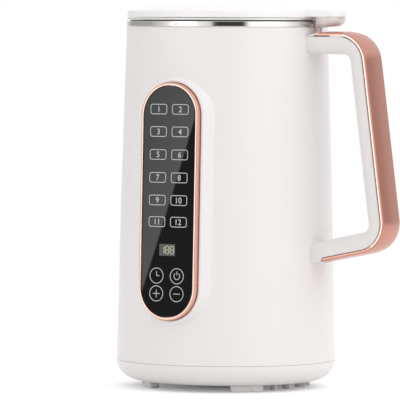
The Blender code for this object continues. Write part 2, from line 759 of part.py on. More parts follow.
def feet(machine):
    """Four curved rubber pads, each with a peg through the base."""
    material = finish("foot rubber", "c9c6c6", 0.7)
    degrees = math.degrees(FOOT_HALF_ANGLE)
    outline = arc(0, 0, FOOT_OUTER_RADIUS, -degrees, degrees, 4)
    outline += arc(0, 0, FOOT_INNER_RADIUS, degrees, -degrees, 4)
    for number, angle in enumerate(foot_angles(), 1):
        pad = prism(outline, 0, FOOT_HEIGHT - GAP)
        foot = add(f"foot_{number}", pad, machine, material, rotation=(0, 0, angle))
        soften(foot, FOOT_EDGE, 1)
        top = BASE_INNER_Z + FOOT_PEG_GRIP
        peg = rod(FOOT_PEG_RADIUS, FOOT_HEIGHT / 2, top, PIN_STEPS)
        fuse(foot, add(f"foot_peg_{number}", moved(peg, foot_radius()), machine, rotation=(0, 0, angle)))


def jug(machine):
    """The drawn steel jug: round corner at the floor, flare at the mouth and a rolled rim."""
    outer = JUG_RADIUS
    inner = outer - JUG_WALL
    corner = JUG_CORNER_RADIUS
    flare = JUG_FLARE_RADIUS
    floor = JUG_FLOOR_Z - JUG_WALL
    shoulder = RIM_Z + RIM_STEP
    bead = RIM_RADIUS - RIM_BEAD_WIDTH
    edge = RIM_EDGE
    under = [(0, floor)] + arc(outer - corner, floor + corner, corner, -90, 0)
    under += arc(outer + flare, shoulder - flare, flare, 180, 90, 2)
    rim = [(bead, shoulder), (bead + edge, RIM_Z)]
    rim += arc(RIM_RADIUS - edge, RIM_Z + edge, edge, -90, 0, 2)
    rim += arc(RIM_RADIUS - edge, RIM_TOP_Z - edge, edge, 0, 90, 2)
    rim += [(bead + edge, RIM_TOP_Z), (bead, shoulder + JUG_WALL)]
    inside = arc(outer + flare, shoulder - flare, flare + JUG_WALL, 90, 180, 2)
    inside += arc(inner - corner + JUG_WALL, JUG_FLOOR_Z + corner - JUG_WALL, corner - JUG_WALL, 0, -90)
    profile = under + rim + inside + [(0, JUG_FLOOR_Z)]
    cup = add("jug", turned(profile, INNER_STEPS), machine, steel("jug steel"))
    low = floor - OVERRUN
    high = JUG_FLOOR_Z + OVERRUN
    neck = rod(SEAL_NECK_RADIUS + GAP, low, high, RING_STEPS)
    sensor = swung(moved(rod(SENSOR_RADIUS + GAP, low, high, PIN_STEPS), SENSOR_REACH), SENSOR_TURN)
    cut(cup, add("jug_holes", merged(neck, sensor), machine))
    return cup


def panel_pieces(panel):
    """Bezel, glass, display and control board, stacked in the boss."""
    rear = BOSS_STAND - BEZEL_SINK
    front = BOSS_STAND + BEZEL_STAND
    glass_front = front - BEZEL_LIP
    glass_rear = glass_front - GLASS_THICKNESS
    bezel = add("panel_bezel", prism(stadium(BEZEL_WIDTH, BEZEL_HEIGHT), rear, front), panel,
                finish("rose gold lacquer", "e0ab97", 0.25, 0.8))
    soften(bezel, BEZEL_EDGE)
    recess = prism(stadium(GLASS_WIDTH + 2 * GAP, GLASS_HEIGHT + 2 * GAP), glass_rear - GAP, front + OVERRUN)
    light_outline = stadium(GLASS_WIDTH - 2 * BEZEL_LEDGE, GLASS_HEIGHT - 2 * BEZEL_LEDGE)
    light = prism(light_outline, rear - OVERRUN, front + OVERRUN)
    cut(bezel, add("bezel_recess", recess, panel), add("bezel_light", light, panel))
    glass = add("panel_glass", prism(stadium(GLASS_WIDTH, GLASS_HEIGHT), glass_rear, glass_front), panel,
                finish("smoked black glass", "1d1e20", 0.08))
    soften(glass, GLASS_EDGE, 1)
    board_front = rear - GAP
    board_outline = stadium(GLASS_WIDTH - BEZEL_RIM - 2 * GAP, GLASS_HEIGHT - BEZEL_RIM - 2 * GAP)
    add("control_board", prism(board_outline, board_front - BOARD_THICKNESS, board_front), panel,
        finish("green circuit board", "2f5a3c", 0.5))
    display = prism(rectangle(DISPLAY_WIDTH, DISPLAY_HEIGHT), board_front + GAP, glass_rear - GAP)
    add("display_module", display, panel, finish("display grey", "8a9089", 0.4), (0, -DISPLAY_DROP, 0))


def handle_frame(machine):
    """An empty whose local X is reach, Y is height and Z points to the front."""
    return empty("handle_frame", machine, (0, 0, 0), (math.pi / 2, 0, 0))


def handle_pieces(machine, frame):
    """The white grip core and the rose gold band round its outer side."""
    outer = handle_outer_path()
    start = SHELL_TOP_RADIUS / 2
    band_end = shell_radius(HANDLE_FOOT_Z) + TRIM_END_STAND
    band = at_reach(outer, start, False)
    band = [point for point in band if point[0] > band_end or point[1] > HANDLE_TOP_Z / 2]
    end_height = HANDLE_FOOT_Z + HANDLE_RISE_SHARE * (band_end - SHELL_FOOT_RADIUS)
    band.append((band_end, end_height))
    band_back = beside(band, TRIM_THICKNESS)
    band_back[-1] = (band_back[-1][0] + TRIM_THICKNESS, band_back[-1][1])
    trim = add("handle_trim", prism(band + band_back[::-1], -HANDLE_WIDTH / 2, HANDLE_WIDTH / 2), frame,
               finish("rose gold satin", "cc8a78", 0.3, 0.8))
    soften(trim, TRIM_EDGE, 1)
    core_back = beside(band, TRIM_THICKNESS + TRIM_GAP)
    core_back[-1] = (core_back[-1][0] + TRIM_THICKNESS, core_back[-1][1])
    foot = [
        (band_end - GAP, end_height - HANDLE_RISE_SHARE * GAP),
        (start, HANDLE_FOOT_Z - HANDLE_RISE_SHARE * (SHELL_FOOT_RADIUS - start)),
    ]
    inner = at_reach(handle_inner_path(), start)
    core = add("handle_core", prism(core_back + foot + inner, -HANDLE_WIDTH / 2, HANDLE_WIDTH / 2), frame,
               white_plastic("handle white"))
    soften(core, HANDLE_EDGE)
    root = add("root_clearance", body_stock(GAP, SEAM_Z, SHELL_TOP_Z + 2 * OVERRUN), machine)
    cut(core, root)
    cut(trim, root)
    fuse(core, hook(frame))
    cut(core, switch_pocket(machine), post_slot(machine, "core_slot"), core_screw_holes(machine))
    cut(trim, post_slot(machine, "trim_slot"))


def hook(frame):
    """Tab and leg at the handle's top root, which catch behind the housing wall."""
    middle = hook_height()
    wall_inside = shell_radius(middle) - SHELL_WALL - 2 * GAP
    tip = wall_inside - HOOK_LEG
    root = SHELL_TOP_RADIUS + SHELL_WALL / 2
    top = middle + HOOK_THICKNESS / 2
    low = middle - HOOK_THICKNESS / 2
    outline = [
        (tip, low - HOOK_DROP), (wall_inside, low - HOOK_DROP), (wall_inside, low), (root, low), (root, top),
        (tip, top),
    ]
    return add("hook", prism(outline, -HOOK_HALF_WIDTH, HOOK_HALF_WIDTH), frame)


def switch_floor():
    """Height of the floor of the pocket that holds the safety switch."""
    return HANDLE_TOP_Z - HANDLE_TOP_DEPTH + POCKET_FLOOR


def plunger_rest():
    """Underside of the plunger when the lid is on."""
    return HANDLE_TOP_Z - POST_DIP - GAP - PLUNGER_HEIGHT


def switch_pocket(machine):
    """Pocket for the safety switch inside the head of the handle."""
    outline = rectangle(SWITCH_DEPTH + 2 * GAP, SWITCH_WIDTH + 2 * GAP)
    pocket = prism(outline, switch_floor(), plunger_rest() - GAP)
    return add("switch_pocket", pocket, machine, location=(POST_REACH, 0, 0))


def post_slot(machine, name):
    """Slot in the handle's top for the lid's post and the plunger."""
    outline = rounded_rectangle(POST_DEPTH + 2 * GAP, POST_WIDTH + 2 * GAP, POST_EDGE + GAP)
    slot = prism(outline, plunger_rest() - 2 * GAP, HANDLE_TOP_Z + OVERRUN)
    return add(name, slot, machine, location=(POST_REACH, 0, 0))


def core_screw_holes(machine):
    """Two blind holes in the handle's lower root."""
    holes = []
    for side in (-1, 1):
        bar = swung(rod(SCREW_RADIUS + GAP, 0, HANDLE_SCREW_LENGTH + GAP, PIN_STEPS), math.pi / 2, "Y")
        holes.append(moved(bar, screw_start(), side * HANDLE_SCREW_SPREAD, screw_height()))
    return add("core_screw_holes", merged(*holes), machine)


def screw_start():
    """Reach at which the handle screws' heads end and their shanks start."""
    inside = shell_radius(screw_height()) - SHELL_WALL
    side = HANDLE_SCREW_SPREAD + SCREW_HEAD_RADIUS
    return math.sqrt(inside ** 2 - side ** 2) - GAP


def screw(
    name, parent, material, length, location, rotation=(0, 0, 0), radius=SCREW_RADIUS, head=SCREW_HEAD_RADIUS
):
    """A pan head screw that points along its local +Z from the plane under its head."""
    rise = SCREW_HEAD_HEIGHT
    profile = [(0, -rise), (head * SCREW_CROWN_SHARE, -rise), (head, -rise / 2), (head, 0), (radius, 0),
               (radius, length - radius), (0, length)]
    add(name, turned(profile, PIN_STEPS), parent, material, location, rotation)


def handle_screws(machine):
    """The two screws that hold the handle's lower root from inside the housing."""
    material = plated("zinc plated screw")
    for number, side in enumerate((-1, 1), 1):
        place = (screw_start(), side * HANDLE_SCREW_SPREAD, screw_height())
        screw(f"handle_screw_{number}", machine, material, HANDLE_SCREW_LENGTH, place, (0, math.pi / 2, 0))


def microswitch(machine):
    """The safety switch: a block with a round button."""
    floor = switch_floor() + GAP
    top = plunger_rest() - GAP - SWITCH_BUTTON_RISE
    block = prism(rounded_rectangle(SWITCH_DEPTH, SWITCH_WIDTH, POST_EDGE, 2), floor, top)
    body = add("microswitch", block, machine, black_plastic("switch black"), location=(POST_REACH, 0, 0))
    button = rod(SWITCH_BUTTON_RADIUS, floor + GAP, top + SWITCH_BUTTON_RISE, PIN_STEPS)
    fuse(body, add("switch_button", button, machine, location=(POST_REACH, 0, 0)))


def interlock_plunger(machine):
    """The sliding key that the lid's post pushes down onto the switch."""
    frame = empty("plunger_axis", machine, (POST_REACH, 0, plunger_rest()))
    outline = rounded_rectangle(POST_DEPTH, POST_WIDTH, POST_EDGE)
    add("interlock_plunger", prism(outline, 0, PLUNGER_HEIGHT), frame, finish("plunger pink", "d8b9b2", 0.4))


def lid_pieces(lid):
    """Everything that lifts off with the lid."""
    lid_cover(lid)
    lid_catch(lid)
    lid_plate(lid)
    lid_seal(lid)
    overflow_probe(lid)
    material = plated("lid screw steel")
    for number, side in enumerate((-1, 1), 1):
        place = (0, side * LID_SCREW_RADIUS, DISH_FLOOR_Z - GAP)
        screw(f"lid_screw_{number}", lid, material, lid_screw_length(), place)


def lid_screw_length():
    """A lid screw ends inside the boss of the cover."""
    return (LID_TOP_Z - DISH_FLOOR_Z) * LID_SCREW_SHARE


def lid_dome(top, radius, fall, low):
    """Points of the lid's domed top from the side wall to the axis; shares follow the real dome."""
    fall_shares = [
        (1.0, 1.3), (0.992, 1.22), (0.915, 0.95), (0.865, 0.72), (0.827, 0.54), (0.75, 0.36), (0.587, 0.18),
        (0, 0),
    ]
    points = [(radius, low)]
    for reach_share, drop_share in fall_shares:
        points.append((radius * reach_share, top - fall * drop_share))
    return points


def lid_cover(lid):
    """White domed cover with the tongue that reaches over the handle."""
    outside = [(0, LID_Z)] + lid_dome(LID_TOP_Z, LID_RADIUS, LID_EDGE_FALL, LID_Z)
    cover = add("lid_cover", turned(outside, BODY_STEPS), lid, white_plastic("lid white"))
    ceiling = LID_TOP_Z - LID_WALL
    below = LID_Z - OVERRUN
    inside = [(0, below)] + lid_dome(ceiling, LID_RADIUS - LID_WALL, LID_EDGE_FALL, below)[:2]
    inside += [(LID_RADIUS * LID_HOLLOW_SHARE, ceiling - LID_EDGE_FALL * LID_HOLLOW_FALL_SHARE), (0, ceiling)]
    hollow = add("lid_hollow", turned(inside, BODY_STEPS), lid)
    half = TONGUE_HALF_WIDTH
    root = LID_RADIUS - 2 * half
    outline = [(root, -half)] + arc(TONGUE_REACH - half, 0, half, -90, 90, 11) + [(root, half)]
    tongue = add("lid_tongue", prism(outline, LID_Z, LID_Z + TONGUE_HEIGHT), lid)
    soften(tongue, TONGUE_EDGE, 3)
    posts = []
    low = DISH_FLOOR_Z + PLATE_THICKNESS + GAP
    for side in (-1, 1):
        post = turned(tube_profile(SCREW_RADIUS + GAP, LID_BOSS_RADIUS, low, boss_top()), PIN_STEPS)
        posts.append(moved(post, 0, side * LID_SCREW_RADIUS))
    fuse(cover, tongue)
    cut(cover, hollow)
    fuse(cover, add("lid_bosses", merged(*posts), lid))


def boss_top():
    """The lid's screw bosses run up into the dome's wall."""
    return LID_TOP_Z - LID_WALL / 2 - LID_EDGE_FALL * LID_HOLLOW_FALL_SHARE


def lid_catch(lid):
    """Glossy shell under the tongue and the flat post that enters the handle."""
    middle = TONGUE_REACH - CATCH_LENGTH / 2 - GAP
    outline = rounded_rectangle(CATCH_LENGTH, 2 * CATCH_HALF_WIDTH, CATCH_CORNER, 4)
    top = LID_Z - GAP
    stock = prism(outline, top - CATCH_DEPTH, top)
    shell = add("lid_tongue_shell", stock, lid, white_plastic("tongue white"), (middle, 0, 0))
    trim_outline = rectangle(CATCH_LENGTH + 2 * OVERRUN, 2 * (CATCH_HALF_WIDTH + OVERRUN))
    trim_box = moved(prism(trim_outline, top - GAP, top + OVERRUN), middle)
    soften(shell, CATCH_EDGE)
    cut(shell, add("catch_top", trim_box, lid))
    post_outline = rounded_rectangle(POST_DEPTH, POST_WIDTH, POST_EDGE)
    post = prism(post_outline, HANDLE_TOP_Z - POST_DIP, top - CATCH_DEPTH - GAP)
    add("interlock_post", post, lid, finish("post pink", "e9d3cd", 0.35), location=(POST_REACH, 0, 0))


def lid_plate(lid):
    """Drawn steel dish under the cover: a flat flange and a drum that dips into the jug."""
    thick = PLATE_THICKNESS
    floor = DISH_FLOOR_Z
    bend = SEAL_WALL
    profile = [(0, floor)] + arc(DISH_RADIUS - bend, floor + bend, bend, -90, 0, 3)
    profile += [(DISH_RADIUS, PLATE_Z), (LID_RADIUS, PLATE_Z), (LID_RADIUS, PLATE_Z + thick)]
    inside = DISH_RADIUS - thick
    profile += [(inside, PLATE_Z + thick), (inside, floor + bend), (DISH_RADIUS - bend, floor + thick)]
    profile.append((0, floor + thick))
    plate = add("lid_plate", turned(profile, BODY_STEPS), lid, steel("lid plate steel"))
    holes = []
    for side in (-1, 1):
        hole = rod(SCREW_RADIUS + GAP, floor - OVERRUN, floor + OVERRUN, PIN_STEPS)
        holes.append(moved(hole, 0, side * LID_SCREW_RADIUS))
    hole = rod(PROBE_RADIUS + GAP, floor - OVERRUN, floor + OVERRUN, PIN_STEPS)
    holes.append(moved(hole, PROBE_REACH))
    cut(plate, add("plate_holes", merged(*holes), lid))


def lid_seal(lid):
    """Silicone ring: a flange between rim and plate, and a skirt with a lip round the drum."""
    low = PLATE_Z - DISH_DEPTH * SEAL_SKIRT_SHARE
    top = PLATE_Z - GAP
    flange = RIM_TOP_Z + GAP
    inner = DISH_RADIUS + GAP
    outer = inner + SEAL_WALL - GAP
    web = outer - SEAL_WALL / 4
    profile = [(inner, low), (web, low), (outer, low + SEAL_WALL), (web, low + 2 * SEAL_WALL), (web, flange),
               (RIM_RADIUS - 2 * SEAL_WALL, flange), (RIM_RADIUS - 2 * SEAL_WALL, top), (inner, top)]
    add("lid_seal", turned(profile, BODY_STEPS), lid, rubber("lid seal silicone"))


def overflow_probe(lid):
    """The rod that senses rising foam, with a collar against the dish."""
    collar = DISH_FLOOR_Z - GAP
    tip = collar - PROBE_LENGTH
    radius = PROBE_RADIUS
    profile = [(0, tip), (radius * PROBE_TIP_SHARE, tip), (radius, tip + radius), (radius, collar - radius),
               (PROBE_FLANGE_RADIUS, collar - radius), (PROBE_FLANGE_RADIUS, collar), (radius, collar),
               (radius, collar + 2 * PROBE_RADIUS), (0, collar + 2 * PROBE_RADIUS)]
    add("overflow_probe", turned(profile, PIN_STEPS), lid, steel("probe steel"), location=(PROBE_REACH, 0, 0))


def notched(radius, depth, count, notch_share, steps=3):
    """Round outline with square notches, as on a commutator or an armature."""
    outline = []
    pitch = 360 / count
    half = pitch * notch_share / 2
    for number in range(count):
        turn = number * pitch
        outline += arc(0, 0, radius, turn + half, turn + pitch - half, steps)
        outline += arc(0, 0, radius - depth, turn + pitch - half, turn + pitch + half, 1)
    return outline


def hole(radius, low, high, x=0, y=0, steps=PIN_STEPS):
    """A round cutter along Z."""
    return moved(rod(radius, low, high, steps), x, y)


def motor_brackets(machine):
    """Two die-cast bridges that hold the bearings, below and above the stack."""
    material = finish("die-cast aluminium", "a8aaab", 0.45, 1.0)
    legs_low = [LOWER_BRACKET_Z, LOWER_BRACKET_Z + BRACKET_BAR, STATOR_Z - GAP]
    legs_high = [UPPER_BAR_TOP_Z, UPPER_BRACKET_Z, STATOR_TOP_Z + GAP]
    seats = [LOWER_BRACKET_Z, UPPER_BRACKET_Z]
    for name, legs, seat in zip(("lower", "upper"), (legs_low, legs_high), seats):
        stock = bridge_stock(legs)
        bridge = add(f"motor_bracket_{name}", stock, machine, material, rotation=(math.pi / 2, 0, 0))
        top = seat + BEARING_SEAT_WALL + BEARING_HEIGHT
        ring = rod(BEARING_RADIUS + GAP + BEARING_SEAT_WALL, seat + GAP, top)
        bore = hole(BEARING_RADIUS + GAP, seat + BEARING_SEAT_WALL, top + OVERRUN, steps=RING_STEPS)
        shaft = hole(SHAFT_RADIUS + SHAFT_WAY, seat - OVERRUN, seat + OVERRUN)
        fuse(bridge, add(f"bearing_ring_{name}", ring, machine))
        cut(bridge, add(f"bearing_bore_{name}", bore, machine), add(f"shaft_way_{name}", shaft, machine))
        cut(bridge, bolt_holes(machine, f"bracket_bolts_{name}"))
        low = seat + BEARING_SEAT_WALL + GAP
        bearing = turned(tube_profile(SHAFT_RADIUS + RUNNING_GAP, BEARING_RADIUS, low, top))
        add(f"bearing_{name}", bearing, machine, steel(f"bearing steel {name}"))


def bridge_stock(levels):
    """A bar with two legs; levels are the bar's far side, its near side and the legs' ends."""
    far, near, end = levels
    outer = STATOR_SIDE / 2
    inner = COIL_SPREAD + COIL_WIDTH + 2 * GAP
    outline = [
        (-outer, far), (outer, far), (outer, end), (inner, end), (inner, near), (-inner, near), (-inner, end),
        (-outer, end),
    ]
    return prism(outline, -BRACKET_WIDTH / 2, BRACKET_WIDTH / 2)


def bolt_holes(machine, name):
    """Two holes for the motor bolts, right through the motor."""
    rods = []
    low = LOWER_BRACKET_Z - OVERRUN
    high = DECK_TOP_Z + OVERRUN
    for side in (-1, 1):
        rods.append(hole(MOTOR_BOLT_RADIUS + GAP, low, high, side * MOTOR_BOLT_SPREAD))
    return add(name, merged(*rods), machine)


def stator(machine):
    """Laminated stack with a bore and four windows for the coils."""
    stack = prism(rounded_rectangle(STATOR_SIDE, STATOR_SIDE, STATOR_CORNER), STATOR_Z, STATOR_TOP_Z)
    core = add("stator_core", stack, machine, finish("electrical steel", "6f7275", 0.5, 0.9))
    low = STATOR_Z - OVERRUN
    high = STATOR_TOP_Z + OVERRUN
    bore = add("stator_bore", hole(ROTOR_RADIUS + AIR_GAP, low, high, steps=RING_STEPS), machine)
    windows = []
    for x_side in (-1, 1):
        for y_side in (-1, 1):
            window = prism(rectangle(COIL_WIDTH + 2 * GAP, COIL_DEPTH + 2 * GAP), low, high)
            x = x_side * (COIL_SPREAD + COIL_WIDTH / 2)
            y = y_side * (COIL_OFFSET + COIL_DEPTH / 2)
            windows.append(moved(window, x, y))
    cut(core, bore, add("coil_windows", merged(*windows), machine), bolt_holes(machine, "stator_bolts"))


def field_coils(machine):
    """Two wound coils round the poles; their end turns stand out of the stack."""
    material = finish("enamelled copper", "b5652f", 0.35, 0.8)
    width = 2 * (COIL_SPREAD + COIL_WIDTH)
    height = STATOR_HEIGHT + 2 * COIL_OVERHANG
    middle = STATOR_Z + STATOR_HEIGHT / 2
    for number, side in enumerate((-1, 1), 1):
        place = (0, side * (COIL_OFFSET + COIL_DEPTH / 2), middle)
        ring = prism(rounded_rectangle(width, height, COIL_CORNER), -COIL_DEPTH / 2, COIL_DEPTH / 2)
        coil = add(f"field_coil_{number}", ring, machine, material, place, (math.pi / 2, 0, 0))
        inside = prism(rectangle(2 * COIL_SPREAD, STATOR_HEIGHT + 2 * GAP), -COIL_DEPTH, COIL_DEPTH)
        cut(coil, add(f"coil_inside_{number}", inside, machine, None, place, (math.pi / 2, 0, 0)))


def brushes(machine):
    """Two brush holders on the lower bearing seat, each with its carbon brush."""
    brass_sheet = brass("brush holder brass")
    carbon = finish("carbon", "2b2b2c", 0.6)
    bore_width = BRUSH_WIDTH + 2 * GAP
    bore_height = BRUSH_HEIGHT + 2 * GAP
    start = COMMUTATOR_RADIUS + BRUSH_CLEAR
    height = LOWER_SEAT_TOP_Z + GAP + BRUSH_HOLDER_WALL + bore_height / 2
    for number, turn in enumerate((0, math.pi), 1):
        frame = empty(f"brush_frame_{number}", machine, (0, 0, height), (-math.pi / 2, 0, turn))
        outside = rectangle(bore_width + 2 * BRUSH_HOLDER_WALL, bore_height + 2 * BRUSH_HOLDER_WALL)
        end = start + BRUSH_HOLDER_LENGTH
        holder = add(f"brush_holder_{number}", prism(outside, start, end), frame, brass_sheet)
        bore = prism(rectangle(bore_width, bore_height), start - OVERRUN, end - BRUSH_HOLDER_WALL)
        cut(holder, add(f"brush_bore_{number}", bore, frame))
        middle = start + BRUSH_HOLDER_LENGTH / 2
        brush = prism(rectangle(BRUSH_WIDTH, BRUSH_HEIGHT), COMMUTATOR_RADIUS + GAP, middle)
        add(f"carbon_brush_{number}", brush, frame, carbon)


def motor_fixings(machine):
    """Rubber dampers between motor and deck, and the two long bolts."""
    material = plated("motor bolt steel")
    length = DECK_TOP_Z - LOWER_BRACKET_Z
    for number, side in enumerate((-1, 1), 1):
        x = side * MOTOR_BOLT_SPREAD
        section = tube_profile(MOTOR_BOLT_RADIUS + GAP, DAMPER_RADIUS, DAMPER_Z, DAMPER_Z + DAMPER_HEIGHT)
        add(f"motor_damper_{number}", turned(section, PIN_STEPS), machine, rubber("damper rubber"), (x, 0, 0))
        screw(f"motor_bolt_{number}", machine, material, length, (x, 0, LOWER_BRACKET_Z - GAP),
              radius=MOTOR_BOLT_RADIUS, head=MOTOR_BOLT_HEAD)


def motor_carrier(machine):
    """Deck with columns down to the base and props up to the heater plate."""
    radius = shell_radius(DECK_Z) - SHELL_WALL - DECK_SIDE_GAP
    deck = add("motor_carrier", rod(radius, DECK_Z, DECK_TOP_Z, INNER_STEPS), machine,
               finish("carrier nylon", "d5d3cf", 0.5))
    overlap = DECK_THICKNESS / 2
    columns = []
    for angle in column_angles():
        column = rod(COLUMN_RADIUS, BASE_INNER_Z + GAP, DECK_Z + overlap, PIN_STEPS)
        columns.append(swung(moved(column, COLUMN_CIRCLE_RADIUS), angle))
        prop = rod(PROP_RADIUS, DECK_TOP_Z - overlap, HEATER_PLATE_Z - GAP, PIN_STEPS)
        columns.append(swung(moved(prop, PROP_CIRCLE_RADIUS), angle + math.pi / COLUMN_COUNT))
    fuse(deck, add("carrier_columns", merged(*columns), machine))
    holes = [hole(DECK_BORE_RADIUS, DECK_Z - OVERRUN, DECK_TOP_Z + OVERRUN, steps=RING_STEPS)]
    for angle in column_angles():
        screw_way = hole(SCREW_RADIUS + GAP, 0, BASE_INNER_Z + BASE_SCREW_LENGTH, COLUMN_CIRCLE_RADIUS)
        holes.append(swung(screw_way, angle))
    cut(deck, add("carrier_holes", merged(*holes), machine), bolt_holes(machine, "deck_bolts"))


def base_screws(machine):
    """Three screws from below into the carrier's columns."""
    material = plated("base screw steel")
    for number, angle in enumerate(column_angles(), 1):
        x = COLUMN_CIRCLE_RADIUS * math.cos(angle)
        y = COLUMN_CIRCLE_RADIUS * math.sin(angle)
        screw(f"base_screw_{number}", machine, material, BASE_SCREW_LENGTH, (x, y, FOOT_HEIGHT - GAP))


def heater(machine):
    """Aluminium heater plate under the jug with a tubular element brazed below it."""
    plate_top = HEATER_PLATE_Z + HEATER_PLATE_THICKNESS
    section = tube_profile(SEAL_NECK_RADIUS + GAP, HEATER_PLATE_RADIUS, HEATER_PLATE_Z, plate_top)
    material = finish("cast aluminium", "bcbdbe", 0.4, 1.0)
    body = add("heater_plate", turned(section, INNER_STEPS), machine, material)
    way = hole(SENSOR_RADIUS + GAP, HEATER_PLATE_Z - OVERRUN, plate_top + OVERRUN, SENSOR_REACH)
    cut(body, add("sensor_way", swung(way, SENSOR_TURN), machine))
    height = HEATER_PLATE_Z - GAP - HEATER_TUBE_RADIUS
    points = []
    start = HEATER_OPENING_TURN + HEATER_HALF_OPENING
    sweep = math.tau - 2 * HEATER_HALF_OPENING
    for step in range(INNER_STEPS + 1):
        angle = start + sweep * step / INNER_STEPS
        points.append((HEATER_RING_RADIUS * math.cos(angle), HEATER_RING_RADIUS * math.sin(angle), height))
    tube("heater_ring", points, HEATER_TUBE_RADIUS, machine, steel("element sheath"))


def tube(name, points, radius, parent, material):
    """A round bar along a line of points, with closed ends."""
    curve = bpy.data.curves.new(name, "CURVE")
    curve.dimensions = "3D"
    curve.bevel_depth = radius
    curve.bevel_resolution = 1
    curve.use_fill_caps = True
    spline = curve.splines.new("POLY")
    spline.points.add(len(points) - 1)
    for place, point in zip(spline.points, points):
        place.co = (*point, 1)
    curve.materials.append(material)
    bar = bpy.data.objects.new(name, curve)
    bpy.context.scene.collection.objects.link(bar)
    bar.parent = parent


def jug_fittings(machine):
    """Temperature sensor, shaft seal and the nut that clamps the seal to the jug's floor."""
    top = JUG_FLOOR_Z + SENSOR_RISE
    collar = HEATER_PLATE_Z - GAP
    radius = SENSOR_RADIUS
    profile = [(0, collar - SENSOR_FLANGE_HEIGHT), (SENSOR_FLANGE_RADIUS, collar - SENSOR_FLANGE_HEIGHT),
               (SENSOR_FLANGE_RADIUS, collar), (radius, collar), (radius, top - radius)]
    profile += arc(0, top - radius, radius, 0, 90)[1:-1] + [(0, top)]
    sensor = swung(moved(turned(profile, PIN_STEPS), SENSOR_REACH), SENSOR_TURN)
    add("temperature_sensor", sensor, machine, steel("sensor steel"))
    low = collar - SEAL_NUT_HEIGHT - SEAL_NECK_BELOW
    floor = JUG_FLOOR_Z + GAP
    flange = floor + SEAL_FLANGE_HEIGHT
    bore = SHAFT_RADIUS + RUNNING_GAP
    profile = [
        (bore, low), (SEAL_NECK_RADIUS, low), (SEAL_NECK_RADIUS, floor), (SEAL_FLANGE_RADIUS, floor),
        (SEAL_FLANGE_RADIUS, flange - GAP), (SEAL_FLANGE_RADIUS - GAP, flange), (SEAL_BOSS_RADIUS, flange),
        (SEAL_BOSS_RADIUS, SEAL_TOP_Z - GAP), (SEAL_BOSS_RADIUS - GAP, SEAL_TOP_Z), (bore, SEAL_TOP_Z),
    ]
    add("shaft_seal", turned(profile), machine, finish("seal housing nylon", "e4e2dd", 0.4))
    hexagon = prism(circle(SEAL_NUT_RADIUS, 6), collar - SEAL_NUT_HEIGHT, collar)
    nut = add("seal_nut", hexagon, machine, brass("nut brass"))
    bore = hole(SEAL_NECK_RADIUS + GAP, low, collar + OVERRUN, steps=RING_STEPS)
    cut(nut, add("seal_nut_bore", bore, machine))


def drive_pieces(drive):
    """Everything that turns on the body's axis."""
    add("drive_shaft", rod(SHAFT_RADIUS, SHAFT_FOOT_Z, SHAFT_TOP_Z, PIN_STEPS), drive, steel("shaft steel"))
    bore_low = SHAFT_FOOT_Z - OVERRUN
    bore_radius = SHAFT_RADIUS + RUNNING_GAP
    teeth = notched(ROTOR_RADIUS, ROTOR_SLOT_DEPTH, ROTOR_SLOTS, ROTOR_SLOT_SHARE)
    rotor = add("rotor_core", prism(teeth, STATOR_Z, STATOR_TOP_Z), drive,
                finish("rotor laminations", "7b7d80", 0.45, 0.9))
    bars = notched(COMMUTATOR_RADIUS, COMMUTATOR_SLIT_DEPTH, COMMUTATOR_BARS, COMMUTATOR_SLIT_SHARE, 1)
    commutator = add("commutator", prism(bars, COMMUTATOR_Z, COMMUTATOR_Z + COMMUTATOR_HEIGHT), drive,
                     finish("commutator copper", "c07a4a", 0.3, 1.0))
    blades = notched(FAN_RADIUS, FAN_RADIUS - FAN_HUB_RADIUS, FAN_BLADES, 1 - fan_blade_share(), 1)
    material = finish("fan nylon", "3b3d42", 0.5)
    fan = add("cooling_fan", prism(blades, FAN_Z, FAN_Z + FAN_HEIGHT), drive, material)
    disc = rod(FAN_RADIUS - GAP, FAN_Z + FAN_HEIGHT - GAP, FAN_Z + FAN_HEIGHT + FAN_DISC)
    fuse(fan, add("fan_disc", disc, drive))
    for piece, top in ((rotor, STATOR_TOP_Z), (commutator, STATOR_Z), (fan, LOWER_BRACKET_Z)):
        cut(piece, add(f"{piece.name}_bore", hole(bore_radius, bore_low, top + OVERRUN), drive))
    cutting_blade(drive)


def fan_blade_share():
    """Share of the fan's outer circle that its blades take."""
    return FAN_BLADES * FAN_BLADE / (math.tau * FAN_RADIUS)


def blade_bar(rise, height):
    """One double-ended bar of the blade: flat in the middle, bent tips, narrowed and ground on both edges."""
    rings = []
    stations = [(-BLADE_RADIUS, BLADE_TIP_HALF_WIDTH, rise), (-BLADE_BEND_RADIUS, BLADE_HALF_WIDTH, 0),
                (BLADE_BEND_RADIUS, BLADE_HALF_WIDTH, 0), (BLADE_RADIUS, BLADE_TIP_HALF_WIDTH, rise)]
    half = BLADE_THICKNESS / 2
    for x, width, lift in stations:
        flat = width - BLADE_BEVEL
        middle = height + lift
        rings.append([(x, -width, middle), (x, -flat, middle - half), (x, flat, middle - half),
                      (x, width, middle), (x, flat, middle + half), (x, -flat, middle + half)])
    return loft(rings)


